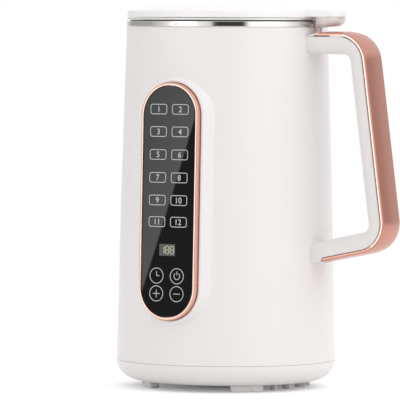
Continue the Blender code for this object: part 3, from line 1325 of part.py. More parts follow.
def cutting_blade(drive):
    """Four-armed blade on a hub, and the hexagon nut that holds it on the shaft."""
    top = BLADE_Z + BLADE_HUB_HEIGHT
    hub = rod(BLADE_HUB_RADIUS, BLADE_Z, top)
    blade = add("blade", hub, drive, steel("blade steel"))
    middle = BLADE_Z + BLADE_HUB_HEIGHT / 2
    raised = add("raised_arms", blade_bar(BLADE_UP, middle + BLADE_THICKNESS / 2), drive)
    lower_bar = swung(blade_bar(-BLADE_DOWN, middle - BLADE_THICKNESS / 3), math.pi / 2)
    lowered = add("lowered_arms", lower_bar, drive)
    fuse(blade, raised, lowered)
    bore_radius = SHAFT_RADIUS + RUNNING_GAP
    cut(blade, add("blade_bore", hole(bore_radius, BLADE_Z - OVERRUN, top + OVERRUN), drive))
    nut_top = BLADE_NUT_Z + BLADE_NUT_HEIGHT
    hexagon = prism(circle(BLADE_NUT_RADIUS, 6), BLADE_NUT_Z, nut_top)
    nut = add("blade_nut", hexagon, drive, steel("blade nut steel"))
    soften(nut, BLADE_NUT_EDGE)
    cut(nut, add("nut_bore", hole(bore_radius, BLADE_NUT_Z - OVERRUN, SHAFT_TOP_Z + GAP), drive))


def power_inlet(machine):
    """Earthed appliance inlet at the back, with its three pins; its local Z points to the back."""
    face = shell_radius(INLET_Z) - INLET_SINK
    frame = empty("inlet_frame", machine, (0, face - INLET_DEPTH, INLET_Z), (-math.pi / 2, 0, 0))
    outside = rounded_rectangle(INLET_WIDTH, INLET_HEIGHT, INLET_CORNER)
    socket = add("inlet_socket", prism(outside, 0, INLET_DEPTH), frame, black_plastic("inlet black"))
    floor = INLET_DEPTH - INLET_RECESS
    inner_corner = INLET_CORNER - INLET_WALL / 2
    inside = rounded_rectangle(INLET_WIDTH - 2 * INLET_WALL, INLET_HEIGHT - 2 * INLET_WALL, inner_corner)
    cut(socket, add("inlet_recess", prism(inside, floor, INLET_DEPTH + OVERRUN), frame))
    places = {"line": (-1, 1), "earth": (0, -1), "neutral": (1, 1)}
    for name, (across, down) in places.items():
        pin = prism(rectangle(INLET_PIN_WIDTH, INLET_PIN_HEIGHT), floor + GAP, floor + GAP + INLET_PIN_LENGTH)
        place = (across * INLET_PIN_SPREAD, down * INLET_PIN_DROP, 0)
        add(f"inlet_pin_{name}", pin, frame, plated("pin plating"), place)


def power_board(machine):
    """Upright supply board that hangs from the deck, with a relay and a capacitor."""
    middle = DECK_Z - GAP - POWER_BOARD_HEIGHT / 2
    reach = shell_radius(middle) - SHELL_WALL - POWER_BOARD_SIDE_GAP
    frame = empty(
        "power_board_frame", machine, (-reach, -POWER_BOARD_SHIFT, middle), (math.pi / 2, 0, math.pi / 2)
    )
    outline = rectangle(POWER_BOARD_WIDTH, POWER_BOARD_HEIGHT)
    material = finish("brown circuit board", "8a5a33", 0.5)
    board = add("power_board", prism(outline, 0, BOARD_THICKNESS), frame, material)
    relay = prism(rectangle(RELAY_SIZE, RELAY_HEIGHT), BOARD_THICKNESS / 2, RELAY_DEPTH)
    relay = moved(relay, -RELAY_SIZE / 2)
    can = hole(CAPACITOR_RADIUS, BOARD_THICKNESS / 2, CAPACITOR_DEPTH, CAPACITOR_RADIUS * 2, -RELAY_SIZE)
    fuse(board, add("board_components", merged(relay, can), frame))


def panel_reach():
    """How far the panel stands out in front of the body's axis."""
    front = shell_radius(PANEL_Z) + (BOSS_STAND + BEZEL_STAND) * math.cos(PANEL_TILT)
    return front + BEZEL_HEIGHT / 2 * math.sin(PANEL_TILT)


def main():
    """Clear the scene and build every piece."""
    for item in list(bpy.data.objects):
        bpy.data.objects.remove(item)
    handle_reach = max(point[0] for point in handle_outer_path())
    shift_x = (SHELL_FOOT_RADIUS - handle_reach) / 2
    shift_y = (panel_reach() - SHELL_FOOT_RADIUS) / 2
    machine = empty("machine", None, (shift_x, shift_y, 0))
    panel = panel_frame(machine)
    handle = handle_frame(machine)
    lid = empty("lid_axis", machine)
    drive = empty("drive_axis", machine)
    outer_shell(machine, panel)
    base_cover(machine)
    feet(machine)
    jug(machine)
    panel_pieces(panel)
    handle_pieces(machine, handle)
    handle_screws(machine)
    microswitch(machine)
    interlock_plunger(machine)
    lid_pieces(lid)
    motor_brackets(machine)
    stator(machine)
    field_coils(machine)
    brushes(machine)
    motor_fixings(machine)
    motor_carrier(machine)
    base_screws(machine)
    heater(machine)
    jug_fittings(machine)
    drive_pieces(drive)
    power_inlet(machine)
    power_board(machine)


main()
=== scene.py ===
"""Dressed soy milk maker: smooth moulded and metal surfaces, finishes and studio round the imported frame.

All sizes in the classes are millimetres in the machine's own frame: its axis is X = Y = 0, the table is
Z = 0, the handle points along +X and the control panel faces -Y. Pieces are turned into metres and moved
to the frame's axis when their meshes are made.
"""

import logging
import math
from collections.abc import Sequence
from dataclasses import dataclass, replace
from enum import Enum
from functools import cache, cached_property

import bmesh
import bpy
import numpy as np
from mathutils import Matrix, Vector


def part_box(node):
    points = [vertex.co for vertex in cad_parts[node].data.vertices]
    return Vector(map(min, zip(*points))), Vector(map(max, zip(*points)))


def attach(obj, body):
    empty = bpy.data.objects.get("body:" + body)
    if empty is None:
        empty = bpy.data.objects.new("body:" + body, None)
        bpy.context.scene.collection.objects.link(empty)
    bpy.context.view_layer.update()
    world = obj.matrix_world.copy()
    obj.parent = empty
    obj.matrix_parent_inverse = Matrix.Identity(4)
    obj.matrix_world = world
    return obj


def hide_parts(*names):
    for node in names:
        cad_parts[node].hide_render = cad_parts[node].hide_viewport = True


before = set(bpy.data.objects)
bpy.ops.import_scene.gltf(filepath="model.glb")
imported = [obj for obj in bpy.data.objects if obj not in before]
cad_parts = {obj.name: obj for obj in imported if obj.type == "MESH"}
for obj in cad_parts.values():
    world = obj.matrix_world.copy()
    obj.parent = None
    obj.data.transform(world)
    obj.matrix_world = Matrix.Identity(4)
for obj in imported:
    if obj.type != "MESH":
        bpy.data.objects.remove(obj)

LOG = logging.getLogger("soy_milk_maker")
# Metres in a millimetre.
MM = 0.001
# Steps round the axis of large and small turned pieces.
BODY_STEPS = 192
SMALL_STEPS = 48
# Metres under which two points are merged, and under which an edge counts as without length.
MERGE = 1e-6
COLLAPSE = 1e-7
# Degrees above which an edge stays sharp: on most pieces, and on cut sheet metal.
SHARP = 35.0
SHEET_SHARP = 25.0
# Least share of a face's normal along a direction for the face to look that way.
FACING = 0.93
# Share of an edge's radius by which a rounding of three points is drawn in at its middle.
EDGE_SHARE = 0.3
# Millimetres across the soft patches in every finish, as flow marks and handling leave them.
PATCH_SIZE = 40.0
# Radians that Blender's wave texture runs through in a length of one, at scale one.
WAVE_RADIANS = 20.0

Array = np.ndarray
Pair = tuple[float, float]
Triple = tuple[float, float, float]
Point = Triple | Array
Tree = bpy.types.NodeTree
Socket = bpy.types.NodeSocket
Piece = bpy.types.Object


def machine_axis() -> Array:
    """Find the machine's axis in the frame.

    Returns:
        The middle of the drive shaft's box as X and Y in metres, with Z zero.
    """
    low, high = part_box("drive_shaft")
    return np.array([(low[0] + high[0]) / 2, (low[1] + high[1]) / 2, 0.0])


AXIS = machine_axis()


def linear_colour(code: str) -> tuple[float, ...]:
    """Turn an sRGB hex colour into the linear colour that nodes take.

    Args:
        code: Six hex digits, such as "f2efee".

    Returns:
        Linear red, green, blue and an alpha of one.
    """
    values = np.array([int(code[place:place + 2], 16) for place in (0, 2, 4)]) / 255
    linear = np.where(values <= 0.04045, values / 12.92, ((values + 0.055) / 1.055) ** 2.4)
    return (*linear.tolist(), 1.0)


def add_node(
    tree: Tree, kind: str, settings: dict | None = None, inputs: dict | None = None
) -> bpy.types.Node:
    """Add one node with its settings and links.

    Args:
        tree: The node tree that takes it.
        kind: Blender's type name of the node, from after "ShaderNode".
        settings: Attributes to set on the node.
        inputs: Socket names or numbers, each with a value or with the output socket to link from.

    Returns:
        The new node.
    """
    new = tree.nodes.new(f"ShaderNode{kind}")
    for name, value in (settings or {}).items():
        setattr(new, name, value)
    for name, value in (inputs or {}).items():
        if isinstance(value, Socket):
            tree.links.new(value, new.inputs[name])
        else:
            new.inputs[name].default_value = value
    return new


@dataclass(frozen=True)
class Finish:
    """A procedural finish on a Principled shader.

    Attributes:
        title: The material's name: what it is and how its surface was made.
        colour: sRGB hex of the plain surface.
        roughness: Mean roughness.
        metallic: One for bare metal, less for metal flakes in lacquer.
        ior: Index of refraction; a metal keeps the default.
        coat: Weight of a clear lacquer.
        grain: Size of the surface grain in millimetres.
        relief: Height of the grain in millimetres.
        mottle: Share by which the colour darkens in patches.
        wander: How far the roughness moves up and down.
    """

    title: str
    colour: str
    roughness: float
    metallic: float = 0.0
    ior: float = 1.5
    coat: float = 0.0
    grain: float = 1.2
    relief: float = 0.004
    mottle: float = 0.02
    wander: float = 0.03

    def pattern(self, tree: Tree, place: Socket) -> Socket:
        """Draw the grain: plain noise in Object coordinates, as on a moulded or cast surface.

        Args:
            tree: The material's node tree.
            place: The Object coordinates.

        Returns:
            A socket with the grain between zero and one.
        """
        noise = {"Vector": place, "Scale": 1 / (self.grain * MM), "Detail": 3.0, "Roughness": 0.55}
        return add_node(tree, "TexNoise", inputs=noise).outputs["Fac"]


@cache
def material_of(finish: Finish) -> bpy.types.Material:
    """Build the material of a finish once.

    The grain drives bump and roughness, and wide soft patches drive the colour.

    Args:
        finish: The finish to build.

    Returns:
        A material whose colour, roughness and bump come from nodes.
    """
    result = bpy.data.materials.new(finish.title)
    result.use_nodes = True
    tree = result.node_tree
    shader = tree.nodes["Principled BSDF"]
    shader.inputs["Metallic"].default_value = finish.metallic
    shader.inputs["IOR"].default_value = finish.ior
    shader.inputs["Coat Weight"].default_value = finish.coat
    place = add_node(tree, "TexCoord").outputs["Object"]
    grain = finish.pattern(tree, place)
    noise = {"Vector": place, "Scale": 1 / (PATCH_SIZE * MM), "Detail": 2.0}
    patches = add_node(tree, "TexNoise", inputs=noise).outputs["Fac"]
    plain = linear_colour(finish.colour)
    dark = (*[part * (1 - finish.mottle) for part in plain[:3]], 1.0)
    tint = add_node(tree, "Mix", {"data_type": "RGBA"}, {0: patches, 6: dark, 7: plain})
    gloss = add_node(tree, "MapRange", inputs={
        "Value": grain, "To Min": max(finish.roughness - finish.wander, 0.0),
        "To Max": finish.roughness + finish.wander,
    })
    relief = {"Height": grain, "Distance": finish.relief * MM, "Strength": 1.0}
    bump = add_node(tree, "Bump", inputs=relief)
    for output, name in (
        (tint.outputs[2], "Base Color"), (gloss.outputs["Result"], "Roughness"),
        (bump.outputs["Normal"], "Normal"),
    ):
        tree.links.new(output, shader.inputs[name])
    return result


@dataclass(frozen=True)
class TurnedFinish(Finish):
    """Metal that was brushed or polished while it turned: fine lines run round the machine's axis."""

    metallic: float = 1.0
    streak: float = 0.35

    def pattern(self, tree: Tree, place: Socket) -> Socket:
        """Draw rings: noise of the distance from the axis and of the height, the same all round.

        Args:
            tree: The material's node tree.
            place: The Object coordinates.

        Returns:
            A socket with the lines between zero and one.
        """
        centred = add_node(
            tree, "VectorMath", {"operation": "SUBTRACT"}, {0: place, 1: tuple(AXIS)}
        ).outputs["Vector"]
        parts = add_node(tree, "SeparateXYZ", inputs={"Vector": centred}).outputs
        flat = add_node(tree, "CombineXYZ", inputs={"X": parts["X"], "Y": parts["Y"]})
        reach = add_node(
            tree, "VectorMath", {"operation": "LENGTH"}, {0: flat.outputs["Vector"]}
        )
        rings = add_node(
            tree, "CombineXYZ", inputs={"X": reach.outputs["Value"], "Y": parts["Z"]}
        )
        noise = {"Vector": rings.outputs["Vector"], "Scale": 1 / (self.streak * MM), "Detail": 4.0}
        return add_node(tree, "TexNoise", inputs=noise).outputs["Fac"]


@dataclass(frozen=True)
class LayeredFinish(Finish):
    """Metal sheet or wire stacked along Z: thin bands repeat at the pitch of the layers."""

    metallic: float = 0.9
    pitch: float = 0.5

    def pattern(self, tree: Tree, place: Socket) -> Socket:
        """Draw bands: a sine of the height, one to each layer.

        Args:
            tree: The material's node tree.
            place: The Object coordinates.

        Returns:
            A socket with the bands between zero and one.
        """
        scale = math.tau / (WAVE_RADIANS * self.pitch * MM)
        settings = {"wave_type": "BANDS", "bands_direction": "Z"}
        wave = {"Vector": place, "Scale": scale, "Distortion": 0.3}
        return add_node(tree, "TexWave", settings, wave).outputs["Fac"]


# Satin ABS, injection moulded in a lightly sparked tool: an even white with a soft, wide highlight.
WHITE_ABS = Finish("white ABS, moulded satin", "f3efee", 0.36, ior=1.53, grain=0.9, relief=0.003)
# Gloss ABS from a polished tool: the lid mirrors the studio a little more sharply than the housing.
GLOSS_ABS = Finish("white ABS, moulded gloss", "fbf9f8", 0.24, ior=1.53, grain=1.4, relief=0.002)
# The grip's satin ABS, drawn a touch greyer than the housing's.
GRIP_ABS = Finish("white ABS, moulded grip", "ebe7e5", 0.34, ior=1.53, grain=0.9, relief=0.003)
# White ABS of the catch, polished under a clear coat that mirrors the rose gold below it; its colour is
# greyed and tinted pink as a painted shade under the tongue and a painted reflection of that rose gold.
CATCH_ABS_PAINTED_SHADE = Finish("catch ABS, gloss with painted shade", "ddd5d2", 0.2, ior=1.56, coat=0.3, grain=1.4, relief=0.002)
# ABS under a pearl lacquer: the key that goes into the handle has a faint blush.
BLUSH_ABS = Finish("blush ABS, moulded", "f3e2dd", 0.3, ior=1.53)
# Vacuum-metallised plastic under a satin rose gold lacquer: metal flakes with a soft reflection.
ROSE_BAND = Finish(
    "rose gold lacquer, satin", "c88c7b", 0.34, metallic=0.72, coat=0.15, grain=0.5, relief=0.0015,
    mottle=0.04,
)
# The same lacquer, polished brighter: the frame round the glass, and a painted sheen on the band's side
# faces.
ROSE_BEZEL_AND_PAINTED_SHEEN = Finish(
    "rose gold lacquer, bright", "e3ab98", 0.24, metallic=0.75, coat=0.2, grain=0.5, relief=0.001,
    mottle=0.03,
)
# Painted highlight: a pale champagne copy of the rose gold lacquer, nearly a mirror, on the frame's front
# faces and on the band's side edges down the grip, where the light catches them.
ROSE_PAINTED_HIGHLIGHT = Finish(
    "rose gold, painted highlight", "fbe0d3", 0.16, metallic=0.8, coat=0.2, grain=0.5, relief=0.0006,
)
# Toughened glass, painted black on its back: nearly a mirror at the grazing angle, deep grey face on.
SMOKED_GLASS = Finish(
    "black glass, polished", "0c0d0e", 0.004, ior=1.52, grain=30.0, relief=0.0, mottle=0.1, wander=0.003
)
# Silk-screen ink: matt light grey.
LEGEND_INK = Finish("legend ink, screen printed", "cfd1d3", 0.5, grain=0.3, relief=0.001)
# Milky window of the number display.
DISPLAY_BACK = Finish("display filter, tinted", "4c4e47", 0.3, grain=0.4, relief=0.001)
# Lit bars of the number display.
DISPLAY_BARS = Finish("display bars, diffused", "c9c8ac", 0.4, grain=0.3, relief=0.001)
# 18/8 stainless steel, drawn and polished while it turned: it mirrors the studio in level stripes.
JUG_STEEL = TurnedFinish(
    "stainless steel, polished round", "e6e5e2", 0.07, grain=0.6, relief=0.0004
)
# The same steel, brushed, on rods, shaft and bearings: a softer, greyer shine.
ROD_STEEL = TurnedFinish(
    "stainless steel, brushed round", "c6c6c3", 0.27, grain=0.6, relief=0.002, wander=0.07
)
# The same steel, fine blasted, on the lid's dish: it takes a wide, even light.
PLATE_STEEL = TurnedFinish(
    "stainless steel, satin round", "ebeae7", 0.42, grain=0.6, relief=0.001, wander=0.05
)
# Hardened steel, ground on the blade's edges.
BLADE_STEEL = Finish(
    "blade steel, ground", "c9cacb", 0.22, metallic=1.0, grain=0.4, relief=0.003, wander=0.08
)
# Zinc-plated screws.
ZINC = Finish("steel, zinc plated", "b9bbbd", 0.32, metallic=1.0, grain=0.5, relief=0.004, wander=0.08)
# Silicone rubber, compression moulded: matt dark grey.
SILICONE = Finish("silicone, moulded", "4a4b4d", 0.62, ior=1.43, grain=0.7, relief=0.006)
# Light grey thermoplastic rubber of the feet.
FOOT_RUBBER = Finish("foot rubber, moulded", "f7f6f5", 0.7, grain=0.8, relief=0.01)
# Glass-filled black nylon round the power inlet.
BLACK_NYLON = Finish("black nylon, moulded", "202124", 0.48, ior=1.53, grain=0.6, relief=0.01)
# Natural nylon of the seal housing and the motor's carrier.
NATURAL_NYLON = Finish("natural nylon, moulded", "dedbd4", 0.45, ior=1.53, grain=0.8, relief=0.008)
# Pressure die-cast aluminium.
CAST_ALUMINIUM = Finish(
    "aluminium, die cast", "a9abac", 0.45, metallic=1.0, grain=1.5, relief=0.02, wander=0.1
)
# Enamelled copper wire, wound in layers of 0.5 mm.
COPPER_WIRE = LayeredFinish("copper wire, enamelled", "b4683a", 0.35, relief=0.06)
# Electrical steel sheet 0.5 mm thick, stacked.
LAMINATIONS = LayeredFinish("electrical steel, stacked", "74777a", 0.45, relief=0.03)
# Plain copper bars of the commutator.
COPPER_BARS = Finish("copper, turned", "c07a4a", 0.3, metallic=1.0, grain=0.4, relief=0.004, wander=0.08)
# Rolled brass.
BRASS = Finish("brass, rolled", "c9a45c", 0.32, metallic=1.0, grain=0.5, relief=0.004, wander=0.08)
# Pressed carbon.
CARBON = Finish("carbon, pressed", "2a2a2b", 0.6, grain=0.5, relief=0.01)
# Epoxy circuit board under a green resist.
GREEN_BOARD = Finish("circuit board, green resist", "2f5a3c", 0.42, coat=0.3, grain=0.8, relief=0.008)
# Phenolic paper board.
BROWN_BOARD = Finish("circuit board, phenolic", "8a5a33", 0.55, grain=0.7, relief=0.01, mottle=0.12)


class Body(Enum):
    """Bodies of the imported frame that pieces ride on."""

    BASE = "base_unit"
    LID = "lid"
    DRIVE = "drive"


@dataclass
class Patch:
    """One closed surface on a grid of points.

    Attributes:
        points: Array of rows by columns by three, in millimetres in the machine's frame.
        rows_close: Whether the last row joins the first one.
        columns_close: Whether the last column joins the first one.
        caps: Whether the first and last rows are filled with one face each.
    """

    points: Array
    rows_close: bool = False
    columns_close: bool = True
    caps: bool = False

    def faces(self, offset: int) -> list[list[int]]:
        """Number the faces of the grid: each cell is the square between two rows and two columns.

        Args:
            offset: Number of vertices that come before this patch.

        Returns:
            Lists of vertex numbers.
        """
        rows, columns = self.points.shape[:2]
        numbers = np.arange(rows * columns).reshape(rows, columns) + offset
        near = numbers if self.rows_close else numbers[:-1]
        far = np.roll(numbers, -1, axis=0)[: len(near)]
        if self.columns_close:
            cells = [near, np.roll(near, -1, axis=1), np.roll(far, -1, axis=1), far]
        else:
            cells = [near[:, :-1], near[:, 1:], far[:, 1:], far[:, :-1]]
        result = np.stack([cell.reshape(-1) for cell in cells], axis=1).tolist()
        if self.caps:
            result += [numbers[0].tolist(), numbers[-1].tolist()]
        return result


def linked(name: str, data: bpy.types.ID) -> Piece:
    """Make an object of some data and link it to the scene.

    Args:
        name: The object's name.
        data: Its mesh, curve, lamp or camera.

    Returns:
        The object at the origin.
    """
    piece = bpy.data.objects.new(name, data)
    bpy.context.scene.collection.objects.link(piece)
    return piece


def evaluated_mesh(piece: Piece) -> bpy.types.Mesh:
    """Give the mesh that an object's modifiers, or its text, come to."""
    bpy.context.view_layer.update()
    return bpy.data.meshes.new_from_object(piece.evaluated_get(bpy.context.evaluated_depsgraph_get()))


def smoothed(mesh: bpy.types.Mesh, sharp: float) -> None:
    """Shade a mesh smooth, with sharp edges above an angle in degrees."""
    mesh.shade_smooth()
    mesh.set_sharp_from_angle(angle=math.radians(sharp))


def make_mesh(name: str, patches: Sequence[Patch], sharp: float = SHARP) -> Piece:
    """Make an object from closed patches, with its place in its mesh.

    Points go from the machine's millimetres to the frame's metres: scaled by 0.001 and moved to the
    axis. Coincident points are merged, which closes seams and poles, and the faces are turned outwards.

    Args:
        name: Name of the object and its mesh.
        patches: The surfaces that the piece consists of.
        sharp: Angle in degrees above which an edge stays sharp.

    Returns:
        The linked object at the origin.
    """
    mesh = bpy.data.meshes.new(name)
    points, faces = [], []
    for patch in patches:
        faces += patch.faces(sum(len(block) for block in points))
        points.append(patch.points.reshape(-1, 3) * MM + AXIS)
    mesh.from_pydata(np.concatenate(points).tolist(), [], faces)
    solid = bmesh.new()
    solid.from_mesh(mesh)
    bmesh.ops.remove_doubles(solid, verts=solid.verts, dist=MERGE)
    bmesh.ops.dissolve_degenerate(solid, edges=solid.edges, dist=COLLAPSE)
    bmesh.ops.recalc_face_normals(solid, faces=solid.faces)
    solid.to_mesh(mesh)
    solid.free()
    smoothed(mesh, sharp)
    return linked(name, mesh)


def carve(piece: Piece, cutters: Sequence[Piece], sharp: float = SHARP) -> None:
    """Cut closed shapes out of a piece with exact Booleans, store the result and remove the cutters.

    Args:
        piece: The piece to cut.
        cutters: Closed objects to take away.
        sharp: Angle in degrees above which an edge stays sharp.
    """
    for cutter in cutters:
        modifier = piece.modifiers.new(cutter.name, "BOOLEAN")
        modifier.operation = "DIFFERENCE"
        modifier.solver = "EXACT"
        modifier.object = cutter
    mesh = evaluated_mesh(piece)
    piece.modifiers.clear()
    piece.data = mesh
    mesh.name = piece.name
    smoothed(mesh, sharp)
    for cutter in cutters:
        bpy.data.objects.remove(cutter)


def finished(
    piece: Piece, finish: Finish, body: Body, replaced: Sequence[str] = ()
) -> None:
    """Give a piece its material, the body that it rides on and the nodes that it stands for.

    Args:
        piece: The piece.
        finish: Its finish.
        body: The body that it moves with.
        replaced: CAD nodes that it hides.
    """
    piece.data.materials.clear()
    piece.data.materials.append(material_of(finish))
    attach(piece, body.value)
    if replaced:
        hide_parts(*replaced)
    LOG.info("%s: %d faces in %s on %s", piece.name, len(piece.data.polygons), finish.title, body.value)


def make_pieces(body: Body, rows: Sequence[tuple]) -> None:
    """Make pieces that stand for one CAD node each.

    Args:
        body: The body that they move with.
        rows: Name, patches, finish, CAD node and material slot of each, and a sharp angle of its own.
    """
    for name, patches, finish, node, slot, *sharp in rows:
        finished(make_mesh(name, patches, *sharp), finish, body, [node])


def cut_bright(
    piece: Piece, finish: Finish, way: Point, levels: Pair = (0.0, math.inf)
) -> None:
    """Give one more finish to the faces that look along a direction, forwards or back: a painted highlight
    or sheen on the faces that catch the light.

    Args:
        piece: A piece that has its first finish.
        finish: The finish of those faces.
        way: Unit vector of the direction.
        levels: Heights in millimetres between which the middles of these faces lie.
    """
    faces = piece.data.polygons
    piece.data.materials.append(material_of(finish))
    normals, middles = np.empty(len(faces) * 3), np.empty(len(faces) * 3)
    used = np.empty(len(faces), dtype=np.int32)
    for name, values in (("normal", normals), ("center", middles), ("material_index", used)):
        faces.foreach_get(name, values)
    height = middles[2::3] / MM
    facing = np.abs(normals.reshape(-1, 3) @ np.array(way)) > FACING
    used[facing & (height > levels[0]) & (height < levels[1])] = len(piece.data.materials) - 1
    faces.foreach_set("material_index", used)
    piece.data.update()


def filleted(corners: Sequence[Pair], radii: Sequence[float], steps: int = 8, pieces: int = 1) -> Array:
    """Round the inner corners of an open line.

    Each corner is replaced by an arc that touches both sides: the arc's centre lies on the bisector at
    radius over the sine of half the corner's angle. Every stretch has the same number of points whatever
    its length, so two such lines can be matched point by point.

    Args:
        corners: The line's corners.
        radii: One radius for each inner corner; zero keeps it sharp.
        steps: Points on each arc less one.
        pieces: Pieces that each straight stretch is divided into.

    Returns:
        Array of points by two.
    """
    corner = np.array(corners, dtype=float)
    stops = [corner[:1]]
    for here, before, after, radius in zip(corner[1:-1], corner[:-2], corner[2:], radii):
        if radius == 0:
            stops.append(here[None, :])
            continue
        back = (before - here) / np.linalg.norm(before - here)
        ahead = (after - here) / np.linalg.norm(after - here)
        half = math.acos(float(np.clip(back @ ahead, -1, 1))) / 2
        middle = here + (back + ahead) / np.linalg.norm(back + ahead) * radius / math.sin(half)
        first = here + back * radius / math.tan(half) - middle
        last = here + ahead * radius / math.tan(half) - middle
        share = np.linspace(0, 1, steps + 1)[:, None]
        whole = math.pi - 2 * half
        bend = (np.sin((1 - share) * whole) * first + np.sin(share * whole) * last) / math.sin(whole)
        stops.append(middle + bend)
    stops.append(corner[-1:])
    result = [stops[0]]
    for near, far in zip(stops, stops[1:]):
        share = np.linspace(0, 1, pieces + 1)[1:, None]
        result += [near[-1] + (far[0] - near[-1]) * share, far[1:]]
    return np.concatenate(result)


def turned(profile: Array, steps: int = BODY_STEPS, closed: bool = False) -> Patch:
    """Turn a profile round the Z axis: (r, z) becomes (r cos a, r sin a, z) for evenly spaced angles.

    Args:
        profile: Points of radius and height; an open profile starts and ends on the axis.
        steps: Number of angles.
        closed: Whether the profile is a loop that leaves the axis free.

    Returns:
        A patch whose rows are the angles.
    """
    angle = np.arange(steps)[:, None] * math.tau / steps
    points = polar(profile[None, :, 0], angle, profile[None, :, 1])
    return Patch(points, rows_close=True, columns_close=closed)


def polar(radius: Array | float, turn: Array | float, height: Array | float = 0.0) -> Array:
    """Give points from their distance to the axis, their angle in radians and their height.

    Args:
        radius: Distances to the axis.
        turn: Angles from +X.
        height: Heights; all three broadcast together.

    Returns:
        Array of the broadcast shape by three.
    """
    parts = np.broadcast_arrays(radius * np.cos(turn), radius * np.sin(turn), height)
    return np.stack(parts, axis=-1)


def moved(patch: Patch, shift: Point, turn: float = 0.0) -> Patch:
    """Turn a patch about Z, then shift it.

    Args:
        patch: The patch.
        shift: X, Y and Z in millimetres.
        turn: Angle in radians.

    Returns:
        A moved copy.
    """
    cosine, sine = math.cos(turn), math.sin(turn)
    spin = np.array([[cosine, sine, 0.0], [-sine, cosine, 0.0], [0.0, 0.0, 1.0]])
    return replace(patch, points=patch.points @ spin + np.array(shift))


def rounded_outline(width: float, depth: float, corner: float, steps: int = 8) -> Array:
    """Draw a rectangle with round corners about the origin, starting at its lower right side.

    Args:
        width: Size along the first axis.
        depth: Size along the second axis.
        corner: Corner radius; half the smaller side makes a stadium.
        steps: Points on each corner less one.

    Returns:
        Array of points by two, anticlockwise.
    """
    quarter = np.linspace(0, math.pi / 2, steps + 1)
    turns = np.arange(4)[:, None] * math.pi / 2 - math.pi / 2
    angle = turns + quarter[None, :]
    signs = np.array([[1, -1], [1, 1], [-1, 1], [-1, -1]])
    middle = signs[:, None, :] * np.array([width / 2 - corner, depth / 2 - corner])
    return (middle + corner * np.stack([np.cos(angle), np.sin(angle)], axis=-1)).reshape(-1, 2)


def stadium_path(width: float, height: float, steps: int = 32) -> tuple[Array, Array]:
    """Draw a standing slot shape and its outward directions.

    The line runs up one side in even steps, round a half circle of half the width, down the other side
    and round again.

    Args:
        width: Distance between the straight sides.
        height: Overall height.
        steps: Points on each half circle and on each side.

    Returns:
        The points and their outward unit vectors, both as points by two.
    """
    radius = width / 2
    straight = height / 2 - radius
    share = np.linspace(0, 1, steps, endpoint=False)
    angle = share * math.pi
    ones = np.ones(steps)
    top = np.column_stack([np.cos(angle), np.sin(angle)])
    right = np.column_stack([ones, 0 * ones])
    heights = np.concatenate([2 * share - 1, ones, 1 - 2 * share, -ones]) * straight
    middles = np.column_stack([0 * heights, heights])
    outward = np.concatenate([right, top, -right, -top])
    return middles + radius * outward, outward


def arc(middle: Pair, radius: float, start: float, end: float, steps: int = 8) -> Array:
    """Draw points on an arc, both ends included, with its angles in degrees."""
    angle = np.radians(np.linspace(start, end, steps + 1))
    return np.array(middle) + radius * np.column_stack([np.cos(angle), np.sin(angle)])


def circle(radius: float, steps: int) -> Array:
    """Draw evenly spaced points all round the origin."""
    return arc((0, 0), radius, 0, 360 - 360 / steps, steps - 1)


def line(*points: Pair) -> Array:
    """Give a few points of a profile as an array."""
    return np.array(points, dtype=float)


def eased_line(points: Array, steps: int = 6) -> Array:
    """Draw a smooth line through points.

    Between two points at distance d the line is the cubic Hermite curve whose slopes are d times the
    change of the points with the length along the line, taken from the neighbours on both sides.

    Args:
        points: Points that the line passes, by two.
        steps: Pieces between two points.

    Returns:
        Array of points by two.
    """
    gap = np.linalg.norm(np.diff(points, axis=0), axis=1)
    along = np.concatenate([[0.0], np.cumsum(gap)])
    slope = np.gradient(points, along, axis=0)
    share = np.linspace(0, 1, steps, endpoint=False)[None, :, None]
    start, end, size = points[:-1, None], points[1:, None], gap[:, None, None]
    curve = (
        (2 * share**3 - 3 * share**2 + 1) * start
        + (share**3 - 2 * share**2 + share) * size * slope[:-1, None]
        + (3 * share**2 - 2 * share**3) * end
        + (share**3 - share**2) * size * slope[1:, None]
    )
    return np.concatenate([curve.reshape(-1, 2), points[-1:]])


@dataclass(frozen=True)
class Place:
    """A drawing frame in the machine's frame; as it comes, the drawing lies on the table.

    Attributes:
        origin: Where its origin lies.
        across: Unit vector of its first axis.
        up: Unit vector of its second axis; the third axis points out of the drawing.
    """

    origin: Triple = (0.0, 0.0, 0.0)
    across: Triple = (1.0, 0.0, 0.0)
    up: Triple = (0.0, 1.0, 0.0)

    def put(self, across: Array, up: Array, out: Array) -> Array:
        """Place drawn points: origin + across A + up B + out (A x B).

        Args:
            across: First coordinates.
            up: Second coordinates.
            out: Third coordinates; all three broadcast together.

        Returns:
            Points in the machine's frame.
        """
        first, second = np.array(self.across), np.array(self.up)
        steps = zip((across, up, out), (first, second, np.cross(first, second)))
        return np.array(self.origin) + sum(np.asarray(size)[..., None] * way for size, way in steps)

    def stack(self, rings: Sequence[tuple[Array, Array | float]]) -> Patch:
        """Stack closed outlines of equally many points and close the ends.

        Args:
            rings: Each outline, as points by two, with its height or its points' heights.

        Returns:
            A closed patch whose rows are the outlines.
        """
        rows = [self.put(flat[:, 0], flat[:, 1], np.full(len(flat), level)) for flat, level in rings]
        return Patch(np.stack(rows), caps=True)

    def slab(self, outline: Array, low: float, high: float) -> Patch:
        """Raise a closed outline between two heights."""
        return self.stack([(outline, low), (outline, high)])

    def frame(self, path: Array, outward: Array, section: Array) -> Patch:
        """Carry a closed section round a closed path: each point is path + outward s, at height w.

        Args:
            path: Points of the path, by two.
            outward: Unit vectors away from the path's inside.
            section: Loop of distances outward and heights.

        Returns:
            A ring.
        """
        flat = path[:, None, :] + outward[:, None, :] * section[None, :, :1]
        height = np.broadcast_to(section[None, :, 1], flat.shape[:2])
        return Patch(self.put(flat[..., 0], flat[..., 1], height), rows_close=True)


TABLE = Place()


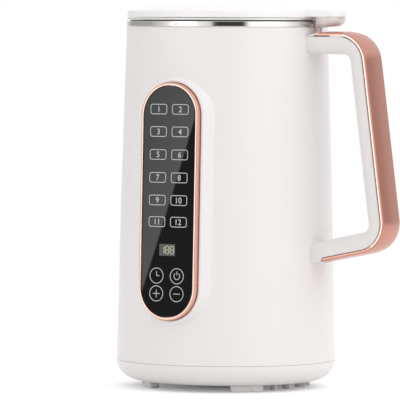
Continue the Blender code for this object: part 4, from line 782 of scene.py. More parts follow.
@dataclass
class Housing:
    """White tapered housing with the soft raised boss that carries the control panel."""

    foot_z: float = 17.5
    top_z: float = 230.35
    foot_radius: float = 70.1
    taper: float = 5.8
    crown: float = 0.35
    wall: float = 2.5
    top_edge: float = 0.4
    foot_edge: float = 0.25
    rows: int = 48
    boss_stand: float = 2.6
    boss_flat: float = 1.0
    boss_reach: float = 9.5
    boss_rows: int = 41
    boss_round: float = 2.4
    boss_slope: float = 2.4
    boss_fillet: float = 1.1
    boss_gap: float = 0.3
    boss_edge: float = 0.35
    boss_sink: float = 0.15
    boss_back: float = 1.6
    inlet_z: float = 40.0
    inlet_size: Pair = (29.6, 22.6)
    inlet_corner: float = 3.3

    def radius(self, height: Array | float) -> Array | float:
        """Outer radius at a height: a straight taper and a slight crown half way up."""
        share = (height - self.foot_z) / (self.top_z - self.foot_z)
        return self.foot_radius - self.taper * share + 4 * self.crown * share * (1 - share)

    def skin(self) -> Patch:
        """Turn the wall: outer line, rounded edges at seam and mouth, and the inner line.

        Returns:
            A closed ring round the axis.
        """
        low, high = self.foot_z + self.foot_edge, self.top_z - self.top_edge
        height = np.linspace(low, high, self.rows)
        outer = np.column_stack([self.radius(height), height])
        inner = outer[::-1] - [self.wall, 0]
        mouth = self.radius(self.top_z)
        return turned(np.concatenate([
            arc((self.foot_radius - self.foot_edge, low), self.foot_edge, -90, -10, 4), outer,
            arc((mouth - self.top_edge, high), self.top_edge, 10, 90, 5),
            line((mouth - self.wall, self.top_z)), inner, line((self.foot_radius - self.wall, self.foot_z)),
        ]), closed=True)

    def depth(self, place: Place, across: Array, up: Array) -> Array:
        """Find how far the housing lies above the panel's plane.

        The point that a drawn point meets on the housing has y = -sqrt(R(z)^2 - x^2); its height z
        depends on the answer, so the value is improved four times.

        Args:
            place: The panel's frame.
            across: Distances from the panel's middle line.
            up: Distances up the panel.

        Returns:
            Heights over the panel's plane, below zero beside the middle line.
        """
        out = np.zeros_like(across)
        normal = np.cross(place.across, place.up)
        for _ in range(4):
            height = place.put(across, up, out)[..., 2]
            target = -np.sqrt(self.radius(height) ** 2 - across**2)
            out = (target - place.origin[1] - up * place.up[1]) / normal[1]
        return out

    def boss(self, place: Place, path: Array, outward: Array) -> Patch:
        """Raise the panel's boss: flat round the seat, then down a steep wall onto the housing.

        With t the distance beyond the flat land, the wall's height is stand - slope t^2 / (2 round) on
        the rounded edge and goes on at the slope. The foot is filleted: the height is the larger of wall
        and housing plus (fillet - |wall - housing|)^2 / (4 fillet) where the two are that close.

        Args:
            place: The panel's frame.
            path: The bezel's outline.
            outward: The outline's outward directions.

        Returns:
            A closed ring whose underside lies in the housing's wall.
        """
        beyond = np.linspace(0, 1, self.boss_rows) * (self.boss_reach - self.boss_flat)
        reach = np.concatenate([[self.boss_gap, self.boss_gap + self.boss_edge], self.boss_flat + beyond])
        flat = path[:, None, :] + outward[:, None, :] * reach[None, :, None]
        ground = self.depth(place, flat[..., 0], flat[..., 1])
        over = np.maximum(reach - self.boss_flat, 0)
        fall = np.where(over < self.boss_round, over**2 / (2 * self.boss_round), over - self.boss_round / 2)
        wall = self.boss_stand - self.boss_slope * fall + 0 * ground
        near = np.maximum(self.boss_fillet - np.abs(wall - ground), 0)
        top = np.maximum(wall, ground) + near**2 / (4 * self.boss_fillet)
        top -= self.boss_sink * np.clip(ground - wall - self.boss_fillet, 0, 1)
        top[:, 0] -= self.boss_edge
        upper = place.put(flat[..., 0], flat[..., 1], top)
        under = place.put(flat[..., 0], flat[..., 1], ground - self.boss_back)
        return Patch(np.concatenate([upper, under[:, ::-1]], axis=1), rows_close=True)

    def build(self, place: Place, path: Array, outward: Array) -> None:
        """Build the housing and open it for the power inlet.

        Args:
            place: The panel's frame.
            path: The bezel's outline.
            outward: The outline's outward directions.
        """
        skin = make_mesh("housing_shell", [self.skin()])
        back = Place((0.0, 0.0, self.inlet_z), (-1.0, 0.0, 0.0), (0.0, 0.0, 1.0))
        hole = rounded_outline(*self.inlet_size, self.inlet_corner)
        opening = back.slab(hole, self.foot_radius / 2, self.foot_radius * 2)
        carve(skin, [make_mesh("inlet_opening", [opening])])
        finished(skin, WHITE_ABS, Body.BASE, ["outer_shell"])
        boss = make_mesh("panel_boss", [self.boss(place, path, outward)])
        finished(boss, WHITE_ABS, Body.BASE, ())


@dataclass
class Base:
    """Base pan with its elliptic flank, cooling slots, ribs and rubber feet."""

    low_z: float = 4.2
    top_z: float = 17.36
    flat_radius: float = 54.5
    outer_radius: float = 70.1
    flank_rows: int = 25
    wall: float = 2.4
    spigot_radius: float = 67.0
    spigot_z: float = 24.5
    edge: float = 0.2
    slots: int = 10
    slot_circle: float = 24.5
    slot_size: Pair = (19.0, 3.2)
    slot_corner: float = 1.59
    screws: int = 3
    screw_circle: float = 42.0
    screw_hole: float = 1.9
    foot_turns: tuple[float, ...] = (45.0, 135.0, 225.0, 315.0)
    foot_circle: float = 50.5
    foot_size: Pair = (20.6, 7.0)
    foot_corner: float = 1.6
    least_corner: float = 0.2
    foot_height: float = 4.1
    foot_edge: float = 0.8
    foot_fall: float = 0.45
    rib_turns: tuple[float, ...] = (-23.4, -10.0, 10.0, 23.4)
    rib_size: Pair = (7.0, 0.9)
    rib_corner: float = 0.4
    rib_circle: float = 50.5
    rib_levels: Pair = (0.7, 4.5)

    def pan(self) -> Patch:
        """Turn the pan: the flank is a quarter ellipse from the flat underside to the seam.

        Returns:
            A surface closed at the axis.
        """
        angle = np.linspace(0, math.pi / 2, self.flank_rows)
        rise = (self.top_z - self.edge - self.low_z) * (1 - np.cos(angle))
        spread, inside = self.outer_radius - self.flat_radius, self.spigot_radius - self.flat_radius
        outer = np.column_stack([self.flat_radius + spread * np.sin(angle), self.low_z + rise])
        inner = np.column_stack([self.flat_radius + inside * np.sin(angle), self.low_z + rise])
        inner += [-self.wall, self.wall]
        return turned(np.concatenate([
            line((0, self.low_z)), outer,
            arc((self.outer_radius - self.edge, self.top_z - self.edge), self.edge, 20, 90, 4),
            line((self.spigot_radius, self.top_z), (self.spigot_radius, self.spigot_z)),
            line((self.spigot_radius - self.wall, self.spigot_z)), inner[::-1],
            line((0, self.low_z + self.wall)),
        ]))

    def openings(self) -> list[Patch]:
        """Give the cutters of the cooling slots and the screw holes, spread evenly round the axis.

        Returns:
            Closed shapes that stand through the floor.
        """
        low, high = self.low_z - self.wall, self.low_z + 2 * self.wall
        slot = TABLE.slab(rounded_outline(*self.slot_size, self.slot_corner), low, high)
        hole = TABLE.slab(circle(self.screw_hole, 24), low, high)
        rows = ((slot, self.slots, self.slot_circle), (hole, self.screws, self.screw_circle))
        return [
            moved(shape, polar(reach, turn), turn)
            for shape, count, reach in rows
            for turn in math.tau * np.arange(count) / count
        ]

    def foot(self) -> Patch:
        """Bend a rounded pad round the base.

        A point a along and b across the pad goes to radius circle - b at the angle a / circle. The rows
        run up from the table: a rounded lower edge, the side, and a slight draw-in at the top.

        Returns:
            A closed pad on the +X side.
        """
        angle = np.radians(np.linspace(0, 90, 7))
        inset = np.concatenate([self.foot_edge * (1 - np.sin(angle)), [0.0, self.foot_fall]])
        upper = [self.foot_height - self.foot_fall, self.foot_height]
        height = np.concatenate([self.foot_edge * (1 - np.cos(angle)), upper])
        length, width = self.foot_size
        rings = []
        for shrink, level in zip(inset, height):
            corner = max(self.foot_corner - shrink, self.least_corner)
            pad = rounded_outline(length - 2 * shrink, width - 2 * shrink, corner)
            bent = polar(self.foot_circle - pad[:, 1], pad[:, 0] / self.foot_circle)
            rings.append((bent[:, :2], level))
        return TABLE.stack(rings)

    def build(self) -> None:
        """Build the pan, its ribs and its four feet."""
        pan = make_mesh("base_pan", [self.pan()])
        carve(pan, [make_mesh("base_openings", self.openings())])
        finished(pan, WHITE_ABS, Body.BASE, ["base_cover"])
        rib = TABLE.slab(rounded_outline(*self.rib_size, self.rib_corner, 3), *self.rib_levels)
        ribs = [moved(rib, polar(self.rib_circle, turn), turn) for turn in np.radians(self.rib_turns)]
        finished(make_mesh("base_ribs", ribs), WHITE_ABS, Body.BASE)
        for number, turn in enumerate(np.radians(self.foot_turns), 1):
            pad = make_mesh(f"foot_pad_{number}", [moved(self.foot(), (0, 0, 0), turn)])
            finished(pad, FOOT_RUBBER, Body.BASE, [f"foot_{number}"])


@dataclass
class Jug:
    """Drawn steel jug and what stands on its floor."""

    radius: float = 57.0
    wall: float = 1.0
    floor_z: float = 108.0
    corner: float = 13.0
    flare: float = 4.0
    rim_radius: float = 64.8
    rim_z: float = 230.42
    rim_top_z: float = 233.85
    rim_edge: float = 0.25
    bead: float = 2.6
    step: float = 1.18
    mark_heights: Pair = (168.0, 196.0)
    mark_section: tuple[Pair, ...] = ((0.0, -1.6), (0.2, -0.8), (0.4, 0.0), (0.2, 0.8), (0.0, 1.6))
    sensor_reach: float = 38.3
    sensor_turn: float = 30.0
    sensor_radius: float = 2.5
    sensor_low: float = 98.0
    sensor_top: float = 115.0
    sensor_collar: Pair = (5.0, 2.0)
    seal_bore: float = 3.1
    seal_neck: float = 8.7
    seal_flange: float = 12.0
    seal_boss: float = 6.5
    seal_levels: tuple[float, ...] = (96.4, 108.3, 110.9, 114.3)
    seal_edge: float = 0.7

    def wall_profile(self) -> Array:
        """Draw the jug's section: floor, corner, side, flare and rolled rim, then back inside.

        Two shallow ribs pressed into the side mark the filling levels.

        Returns:
            Points of radius and height from the axis to the axis.
        """
        shoulder, bead = self.rim_z + self.step, self.rim_radius - self.bead
        middle, rim = (self.radius - self.corner, self.floor_z - self.wall + self.corner), self.rim_edge
        neck, lip = (self.radius + self.flare, shoulder - self.flare), self.rim_radius - rim
        marks = [line(*self.mark_section) * [-1, 1] + [self.radius, height] for height in self.mark_heights]
        side = np.concatenate(marks)
        return np.concatenate([
            line((0, self.floor_z - self.wall)), arc(middle, self.corner, -90, 0), side,
            arc(neck, self.flare, 180, 90), line((bead, shoulder), (bead + rim, self.rim_z)),
            arc((lip, self.rim_z + rim), rim, -90, 0, 5), arc((lip, self.rim_top_z - rim), rim, 0, 90, 5),
            line((bead + rim, self.rim_top_z), (bead, shoulder + self.wall)),
            arc(neck, self.flare + self.wall, 90, 180), side[::-1] - [self.wall, 0],
            arc(middle, self.corner - self.wall, 0, -90), line((0, self.floor_z)),
        ])

    def seal_profile(self) -> Array:
        """Draw the seal housing's section: neck, flange on the floor and boss, with rounded edges.

        Returns:
            A closed loop of radius and height round the bore.
        """
        low, seat, top, crest = self.seal_levels
        edge = self.seal_edge
        return np.concatenate([
            line((self.seal_bore, low), (self.seal_neck, low)),
            line((self.seal_neck, seat), (self.seal_flange, seat)),
            arc((self.seal_flange - edge, top - edge), edge, 0, 90, 4),
            arc((self.seal_boss + edge, top + edge), edge, 270, 180, 4),
            arc((self.seal_boss - edge, crest - edge), edge, 0, 90, 4), line((self.seal_bore, crest)),
        ])

    def sensor_profile(self) -> Array:
        """Draw the temperature sensor's section: collar under the floor, rod and round tip.

        Returns:
            Points of radius and height from the axis to the axis.
        """
        low, radius, (reach, height) = self.sensor_low, self.sensor_radius, self.sensor_collar
        return np.concatenate([
            line((0, low), (reach, low), (reach, low + height), (radius, low + height)),
            arc((0, self.sensor_top - radius), radius, 0, 90, 6),
        ])

    def build(self) -> None:
        """Build the jug, the shaft's seal housing and the temperature sensor."""
        seal = turned(self.seal_profile(), SMALL_STEPS, closed=True)
        place = polar(self.sensor_reach, math.radians(self.sensor_turn))
        rod = moved(turned(self.sensor_profile(), SMALL_STEPS), place)
        make_pieces(Body.BASE, (
            ("steel_jug", [turned(self.wall_profile())], JUG_STEEL, "jug", "stainless_steel"),
            ("seal_housing", [seal], NATURAL_NYLON, "shaft_seal", "nylon"),
            ("sensor_rod", [rod], ROD_STEEL, "temperature_sensor", "stainless_steel"),
        ))


class Mark(Enum):
    """Symbols of the round keys."""

    CLOCK = "clock"
    POWER = "power"
    PLUS = "plus"
    MINUS = "minus"


# Bars of each symbol in shares of the key's radius: middle across and up, width and height. A width or
# height of zero is one stroke.
SYMBOL_BARS = {
    Mark.CLOCK: ((0.0, 0.28, 0.0, 0.6), (0.2, 0.0, 0.45, 0.0)),
    Mark.POWER: ((0.0, 0.368, 0.0, 0.506),),
    Mark.PLUS: ((0.0, 0.0, 1.0, 0.0), (0.0, 0.0, 0.0, 1.0)),
    Mark.MINUS: ((0.0, 0.0, 1.0, 0.0),),
}
# The power sign's ring, open at its top: its share of the key's radius, and where it starts and ends.
POWER_RING = (0.46, 125.0, 415.0)


@dataclass
class ControlPanel:
    """Rose gold frame, black glass, printed keys and number display, in the panel's own frame."""

    housing: Housing
    height_z: float = 120.5
    tilt: float = math.atan2(5.8, 212.9)
    width: float = 37.2
    height: float = 145.55
    front: float = 6.2
    glass_front: float = 5.9
    glass_depth: float = 2.0
    glass_edge: float = 0.35
    glass_sharp: float = 20.0
    rim: float = 1.7
    gap: float = 0.3
    ledge: float = 2.2
    frame_edge: float = 1.1
    lip_edge: float = 0.25
    ink: float = 0.05
    stroke: float = 0.42
    stroke_round: float = 0.4
    key_size: Pair = (12.0, 6.5)
    key_corner: float = 1.6
    key_columns: Pair = (-7.85, 7.85)
    key_rows: tuple[float, ...] = (57.9, 43.8, 29.4, 15.0, 0.8, -12.8)
    number_height: float = 3.6
    number_share: float = 0.7
    number_swell: float = 0.02
    round_radius: float = 5.0
    round_columns: Pair = (-7.4, 7.4)
    round_rows: Pair = (-46.7, -57.9)
    round_marks: tuple[tuple[Mark, Mark], ...] = ((Mark.CLOCK, Mark.POWER), (Mark.PLUS, Mark.MINUS))
    display_size: Pair = (11.4, 7.4)
    display_corner: float = 0.4
    display_row: float = -30.4
    display_value: tuple[int, int, int] = (1, 8, 8)
    digit_size: Pair = (2.5, 4.6)
    digit_pitch: float = 3.5
    digit_bar: float = 0.5
    digit_share: float = 0.6

    @cached_property
    def place(self) -> Place:
        """Give the panel's frame, leaning with the housing's taper."""
        origin = (0.0, -float(self.housing.radius(self.height_z)), self.height_z)
        return Place(origin, (1.0, 0.0, 0.0), (0.0, math.sin(self.tilt), math.cos(self.tilt)))

    def seat(self) -> tuple[Array, Array]:
        """Give the bezel's outline and its outward directions."""
        extra = 2 * (self.rim + self.gap)
        return stadium_path(self.width + extra, self.height + extra)

    def bezel_section(self) -> Array:
        """Draw the frame's section.

        Returns:
            A loop of distances outside the glass and heights over the panel's plane.
        """
        outer, seat = self.rim + self.gap, self.glass_front - self.glass_depth - self.gap
        return np.concatenate([
            line((-self.ledge, 0), (outer, 0)),
            arc((outer - self.frame_edge, self.front - self.frame_edge), self.frame_edge, 0, 90, 6),
            arc((self.gap + self.lip_edge, self.front - self.lip_edge), self.lip_edge, 90, 180, 3),
            line((self.gap, seat), (-self.ledge, seat)),
        ])

    def glass(self) -> Patch:
        """Build the pane: rear, side, ground edge and flat front.

        Returns:
            A closed pane.
        """
        path, outward = stadium_path(self.width, self.height)
        front, rear, edge = self.glass_front, self.glass_front - self.glass_depth, self.glass_edge
        return self.place.stack([(path - outward * inset, level) for inset, level in (
            (edge, rear), (0.0, rear + edge), (0.0, front - edge),
            (edge * EDGE_SHARE, front - edge * EDGE_SHARE), (edge, front),
        )])

    def printed(self, outline: Array, lift: float = 0.0) -> Patch:
        """Print a closed outline: it stands one thickness of ink over the glass, and as far into it."""
        level = self.glass_front + lift
        return self.place.slab(outline, level - self.ink, level + self.ink)

    def outline_ring(self, outline: Array, middle: Pair) -> Patch:
        """Print a line of one stroke inside an outline.

        Args:
            outline: The outline about the origin, anticlockwise.
            middle: Where its middle goes.

        Returns:
            A closed ring; its width is laid off at right angles to the chord between the neighbours.
        """
        ahead = np.roll(outline, -1, axis=0) - np.roll(outline, 1, axis=0)
        outward = np.column_stack([ahead[:, 1], -ahead[:, 0]]) / np.linalg.norm(ahead, axis=1)[:, None]
        low, high = self.glass_front - self.ink, self.glass_front + self.ink
        section = line((0, low), (0, high), (-self.stroke, high), (-self.stroke, low))
        return self.place.frame(outline + np.array(middle), outward, section)

    def bar(self, middle: Pair, size: Pair, lift: float = 0.0) -> Patch:
        """Print a straight bar with round corners, lifted over the other prints."""
        shape = rounded_outline(*size, min(size) * self.stroke_round, 2)
        return self.printed(shape + np.array(middle), lift)

    def number(self, value: int, middle: Pair) -> None:
        """Set a plain number as a piece on the glass.

        Args:
            value: The number to set.
            middle: Where the middle of the number lies.
        """
        text = bpy.data.curves.new(f"number_{value}", "FONT")
        text.body = str(value)
        text.size = self.number_height / self.number_share
        text.extrude = self.ink
        text.resolution_u = 6
        text.offset = self.number_swell
        holder = linked(f"number_{value}", text)
        mesh = evaluated_mesh(holder)
        bpy.data.objects.remove(holder)
        drawn = np.empty(len(mesh.vertices) * 3)
        mesh.vertices.foreach_get("co", drawn)
        flat, out = drawn.reshape(-1, 3)[:, :2], drawn[2::3]
        flat = flat - (flat.max(axis=0) + flat.min(axis=0)) / 2 + np.array(middle)
        points = self.place.put(flat[:, 0], flat[:, 1], out + self.glass_front) * MM + AXIS
        mesh.vertices.foreach_set("co", points.reshape(-1))
        mesh.update()
        finished(linked(f"key_number_{value}", mesh), LEGEND_INK, Body.BASE)

    def symbol(self, mark: Mark, middle: Pair) -> list[Patch]:
        """Print the symbol of a round key: its bars, and for the power sign a ring round the bar.

        Args:
            mark: Which symbol.
            middle: The key's middle.

        Returns:
            Closed strokes on the glass.
        """
        (x, y), size, stroke = middle, self.round_radius, self.stroke
        strokes = [
            self.bar((x + size * right, y + size * up), (size * width or stroke, size * height or stroke))
            for right, up, width, height in SYMBOL_BARS[mark]
        ]
        if mark is Mark.POWER:
            share, start, end = POWER_RING
            outer = arc(middle, size * share, start, end, 40)
            inner = arc(middle, size * share - stroke, start, end, 40)
            strokes.insert(0, self.printed(np.concatenate([outer, inner[::-1]])))
        return strokes

    def digit(self, value: int, across: float) -> list[Patch]:
        """Light the bars of one seven-bar digit.

        Args:
            value: The digit, from 0 to 9.
            across: Where its middle lies.

        Returns:
            One closed bar for each lit segment.
        """
        lit = "abcdef bc abged abgcd fgbc afgcd afgecd abc abcdefg abcdfg".split()[value]
        right, up, bar = self.digit_size[0] / 2, self.digit_size[1] / 2, self.digit_bar
        level, upright = (self.digit_size[0] - bar, bar), (bar, up - bar * self.digit_share)
        bars = {
            "a": (0, up, level), "g": (0, 0, level), "d": (0, -up, level),
            "b": (right, up / 2, upright), "c": (right, -up / 2, upright),
            "f": (-right, up / 2, upright), "e": (-right, -up / 2, upright),
        }
        return [
            self.bar((across + aside, self.display_row + over), size, self.ink * self.digit_share)
            for aside, over, size in map(bars.get, lit)
        ]

    def build(self) -> None:
        """Build frame, glass, keys and display."""
        path, outward = stadium_path(self.width, self.height)
        bezel = make_mesh("bezel_frame", [self.place.frame(path, outward, self.bezel_section())])
        finished(bezel, ROSE_BEZEL_AND_PAINTED_SHEEN, Body.BASE, ["panel_bezel"])
        # Painted highlight: the frame's faces that look out of the panel take the pale copy of its lacquer.
        cut_bright(bezel, ROSE_PAINTED_HIGHLIGHT, np.cross(self.place.across, self.place.up))
        pane = make_mesh("glass_pane", [self.glass()], self.glass_sharp)
        finished(pane, SMOKED_GLASS, Body.BASE, ["panel_glass"])
        keys = rounded_outline(*self.key_size, self.key_corner, 6)
        middles = [(across, up) for up in self.key_rows for across in self.key_columns]
        frames = [self.outline_ring(keys, middle) for middle in middles]
        rounds = circle(self.round_radius, SMALL_STEPS)
        for up, marks in zip(self.round_rows, self.round_marks):
            for across, mark in zip(self.round_columns, marks):
                frames.append(self.outline_ring(rounds, (across, up)))
                frames += self.symbol(mark, (across, up))
        finished(make_mesh("key_outlines", frames), LEGEND_INK, Body.BASE)
        for value, middle in enumerate(middles, 1):
            self.number(value, middle)
        window = rounded_outline(*self.display_size, self.display_corner, 3) + [0, self.display_row]
        backing = self.place.slab(window, self.glass_front - self.ink, self.glass_front + self.ink / 2)
        finished(make_mesh("display_window", [backing]), DISPLAY_BACK, Body.BASE, ())
        digits = []
        for column, value in zip((-1, 0, 1), self.display_value):
            digits += self.digit(value, column * self.digit_pitch)
        finished(make_mesh("display_digits", digits), DISPLAY_BARS, Body.BASE, ())


@dataclass
class Handle:
    """White grip with the rose gold band round its outer side.

    Three numbers go with the top arm, the grip and the lower arm, and two with the outer corners.
    """

    top_z: float = 227.2
    top_reach: float = 104.3
    lean: float = 0.133
    foot_z: float = 81.15
    foot_radius: float = 70.1
    rise: float = 0.206
    width: float = 23.0
    depths: Triple = (13.9, 13.0, 13.5)
    bends: Pair = (20.0, 19.5)
    inner_bend: float = 5.0
    start: float = 62.4
    end: float = 66.6
    band: float = 2.0
    band_gaps: Triple = (0.7, 1.0, 0.4)
    band_edge: float = 0.75
    band_crown: float = 0.9
    band_proud: float = 0.5
    band_start: float = 74.9
    band_slant: float = 2.4
    band_end: float = 75.03
    bright_levels: Pair = (92.5, 225.4)
    collar: tuple[Pair, ...] = (
        (62.4, 224.45), (71.4, 226.75), (73.9, 226.95), (68.1, 224.5), (62.4, 224.1),
    )
    collar_bends: Triple = (3.0, 0.15, 0.0)
    collar_edge: float = 0.25
    collar_draw: float = 0.0625
    grip_round: Pair = (6.0, 5.5)
    grip_edge: float = 0.5
    grip_clear: float = 0.3
    slot_reach: float = 69.75
    slot_size: Pair = (5.0, 10.6)
    slot_corner: float = 1.1
    slot_low: float = 221.1
    slot_high: float = 232.2
    steps: int = 26
    straight: int = 14

    def low_corner(self, inward: float, upward: float) -> Pair:
        """Find where the grip's line meets the lower arm's line, each shifted into the handle.

        Args:
            inward: Shift of the grip's line.
            upward: Shift of the lower arm's line.

        Returns:
            Reach and height.
        """
        foot = self.foot_z + upward - self.rise * self.foot_radius
        across = self.top_reach - inward + self.lean * (self.top_z - foot)
        across /= 1 + self.lean * self.rise
        return across, foot + self.rise * across

    def side(self, inward: Triple, bends: Pair) -> Array:
        """Draw one side of the handle from the top root to the lower root as reach and height.

        Args:
            inward: Shifts into the handle at the top, the grip and the lower arm.
            bends: Radii of the two corners.

        Returns:
            Points; every side has the same number, so sides match point by point.
        """
        top, grip, low = inward
        corner = (self.top_reach - grip + self.lean * top, self.top_z - top)
        below = self.low_corner(grip, low)
        foot = (self.end, below[1] - self.rise * (below[0] - self.end))
        corners = [(self.start, self.top_z - top), corner, below, foot]
        return filleted(corners, bends, self.steps, self.straight)

    def outer_side(self) -> tuple[Array, Array]:
        """Draw the handle's outer side.

        Returns:
            Its points, and the unit vectors that point from them into the handle.
        """
        path = self.side((0, 0, 0), self.bends)
        along = np.gradient(path, axis=0)
        along /= np.linalg.norm(along, axis=1)[:, None]
        return path, np.column_stack([along[:, 1], -along[:, 0]])

    def upright(self, flat: Array, across: Array) -> Patch:
        """Stand sections up: their reach and height are drawn, and each point lies at a distance across."""
        sides = np.broadcast_to(across, flat.shape[:2])
        return Patch(np.stack([flat[..., 0], sides, flat[..., 1]], axis=-1), caps=True)

    def strap(self) -> Patch:
        """Bend the band round the handle.

        Its section is 2 mm thick with cut edges, and its middle stands proud of the handle's line: the
        outer face lies at crown (y / half)^2 - proud. The first row slants back under the collar, and
        the last one slants back to the band's pointed end.

        Returns:
            A closed strap.
        """
        path, inward = self.outer_side()
        kept = path[:, 0] > np.where(path[:, 1] > self.top_z / 2, self.band_start, self.band_end)
        path, inward = path[kept], inward[kept]
        stop = (self.band_end, path[-1, 1] - self.rise * (path[-1, 0] - self.band_end))
        path = np.vstack([(self.band_start, self.top_z), path, stop])
        inward = np.vstack([inward[0], inward, inward[-1]])
        half, edge = self.width / 2, self.band_edge
        across = np.linspace(-1, 1, 9) * (half - edge)
        face = np.column_stack([across, self.band_crown * (across / half) ** 2 - self.band_proud])
        drop = face[-1, 1] + edge
        section = np.concatenate([
            line((-half, self.band), (-half, drop)), face, line((half, drop), (half, self.band))
        ])
        depth = np.tile(section[:, 1], (len(path), 1))
        flat = path[:, None, :] + inward[:, None, :] * depth[..., None]
        flat[0, :, 0] -= self.band_slant * depth[0]
        flat[-1, :, 0] += depth[-1]
        return self.upright(flat, section[:, 0])

    def core_sides(self) -> tuple[Array, Array]:
        """Draw the two lines that the core lies between: the one under the band, and the inner one.

        The gap under the band is blended from its widths at the top, the grip and the lower arm by how
        far the way inward points down or up. Where the band has ended, the core comes out to the
        handle's outer line again, over two rows of its own.

        Returns:
            Both lines, matched point by point.
        """
        path, inward = self.outer_side()
        top_gap, grip_gap, low_gap = self.band_gaps
        down, rising = np.clip([-inward[:, 1:], inward[:, 1:]], 0, 1)
        sinking = self.band + grip_gap + (top_gap - grip_gap) * down + (low_gap - grip_gap) * rising
        sunk = self.band + low_gap
        inner = self.side(self.depths, (self.inner_bend, self.inner_bend))
        low, step = path[:, 1] < self.top_z / 2, self.band_end - low_gap
        covered = ~low | (path[:, 0] > step + sunk + self.grip_clear)
        bare = low & (path[:, 0] < step - self.grip_clear)
        arm, along = inner[low][::-1], path[low][::-1]
        ends = np.array([step + sunk, step])
        edge = np.column_stack([ends, np.interp(ends, along[:, 0], along[:, 1])])
        edge[0] += inward[-1] * sunk
        near = np.column_stack([np.interp(ends, along[:, 0], arm[:, axis]) for axis in (0, 1)])
        outer = np.vstack([(path + inward * sinking)[covered], edge, path[bare]])
        return outer, np.vstack([inner[covered], near, inner[bare]])

    def grip(self) -> Patch:
        """Skin the core with a section that is flat outside and round inside.

        A quarter of an ellipse, depth - a (1 - sin t) by half - b (1 - cos t), rounds each inner edge.

        Returns:
            The closed core.
        """
        outer, inner = self.core_sides()
        turn = np.linspace(0, math.pi / 2, 10)
        size = np.linalg.norm(inner - outer, axis=1)[:, None]
        deep, wide = self.grip_round
        far = size - deep * (1 - np.sin(turn))[None, :]
        half, edge, none = self.width / 2, self.grip_edge, 0 * size
        side = half - wide * (1 - np.cos(turn))
        depth = np.hstack([none, none + edge, far, far[:, ::-1], none + edge, none])
        across = np.concatenate([[half - edge, half], side, -side[::-1], [-half, edge - half]])
        way = (inner - outer) / size
        return self.upright(outer[:, None, :] + way[:, None, :] * depth[..., None], across)

    def root(self) -> Patch:
        """Draw the collar at the top root: a thin wedge that overlaps the band's slanted start.

        Returns:
            A closed wedge whose outermost outlines are drawn in a little.
        """
        outline = filleted(self.collar, self.collar_bends)
        inset = np.array([1.0, 0.0, 0.0, 1.0])[:, None, None] * self.collar_draw
        half, edge = self.width / 2, self.collar_edge
        across = np.array([-half, edge - half, half - edge, half])
        flat = outline[None] + (outline.mean(axis=0) - outline)[None] * inset
        return self.upright(flat, across[:, None])

    def open_for_key(self, piece: Piece, sharp: float = SHARP) -> None:
        """Cut the slot that takes the lid's key.

        Args:
            piece: The piece to cut.
            sharp: Angle in degrees above which an edge stays sharp.
        """
        outline = rounded_outline(*self.slot_size, self.slot_corner) + [self.slot_reach, 0]
        carve(piece, [make_mesh("key_slot", [TABLE.slab(outline, self.slot_low, self.slot_high)])], sharp)

    def build(self) -> None:
        """Build the grip, its collar and the band, all open at the top for the lid's key."""
        grip = make_mesh("handle_grip", [self.grip()])
        self.open_for_key(grip)
        finished(grip, GRIP_ABS, Body.BASE, ["handle_core"])
        collar = make_mesh("grip_collar", [self.root()])
        self.open_for_key(collar)
        finished(collar, GRIP_ABS, Body.BASE, ())
        band = make_mesh("handle_band", [self.strap()], SHEET_SHARP)
        self.open_for_key(band, SHEET_SHARP)
        finished(band, ROSE_BAND, Body.BASE, ["handle_trim"])
        # Painted sheen: the band's side faces take the brighter lacquer of the frame.
        cut_bright(band, ROSE_BEZEL_AND_PAINTED_SHEEN, (0.0, 1.0, 0.0))
        # Painted highlight: between two heights, down the grip, the band's side faces take the pale copy of
        # the lacquer.
        cut_bright(band, ROSE_PAINTED_HIGHLIGHT, (0.0, 1.0, 0.0), self.bright_levels)


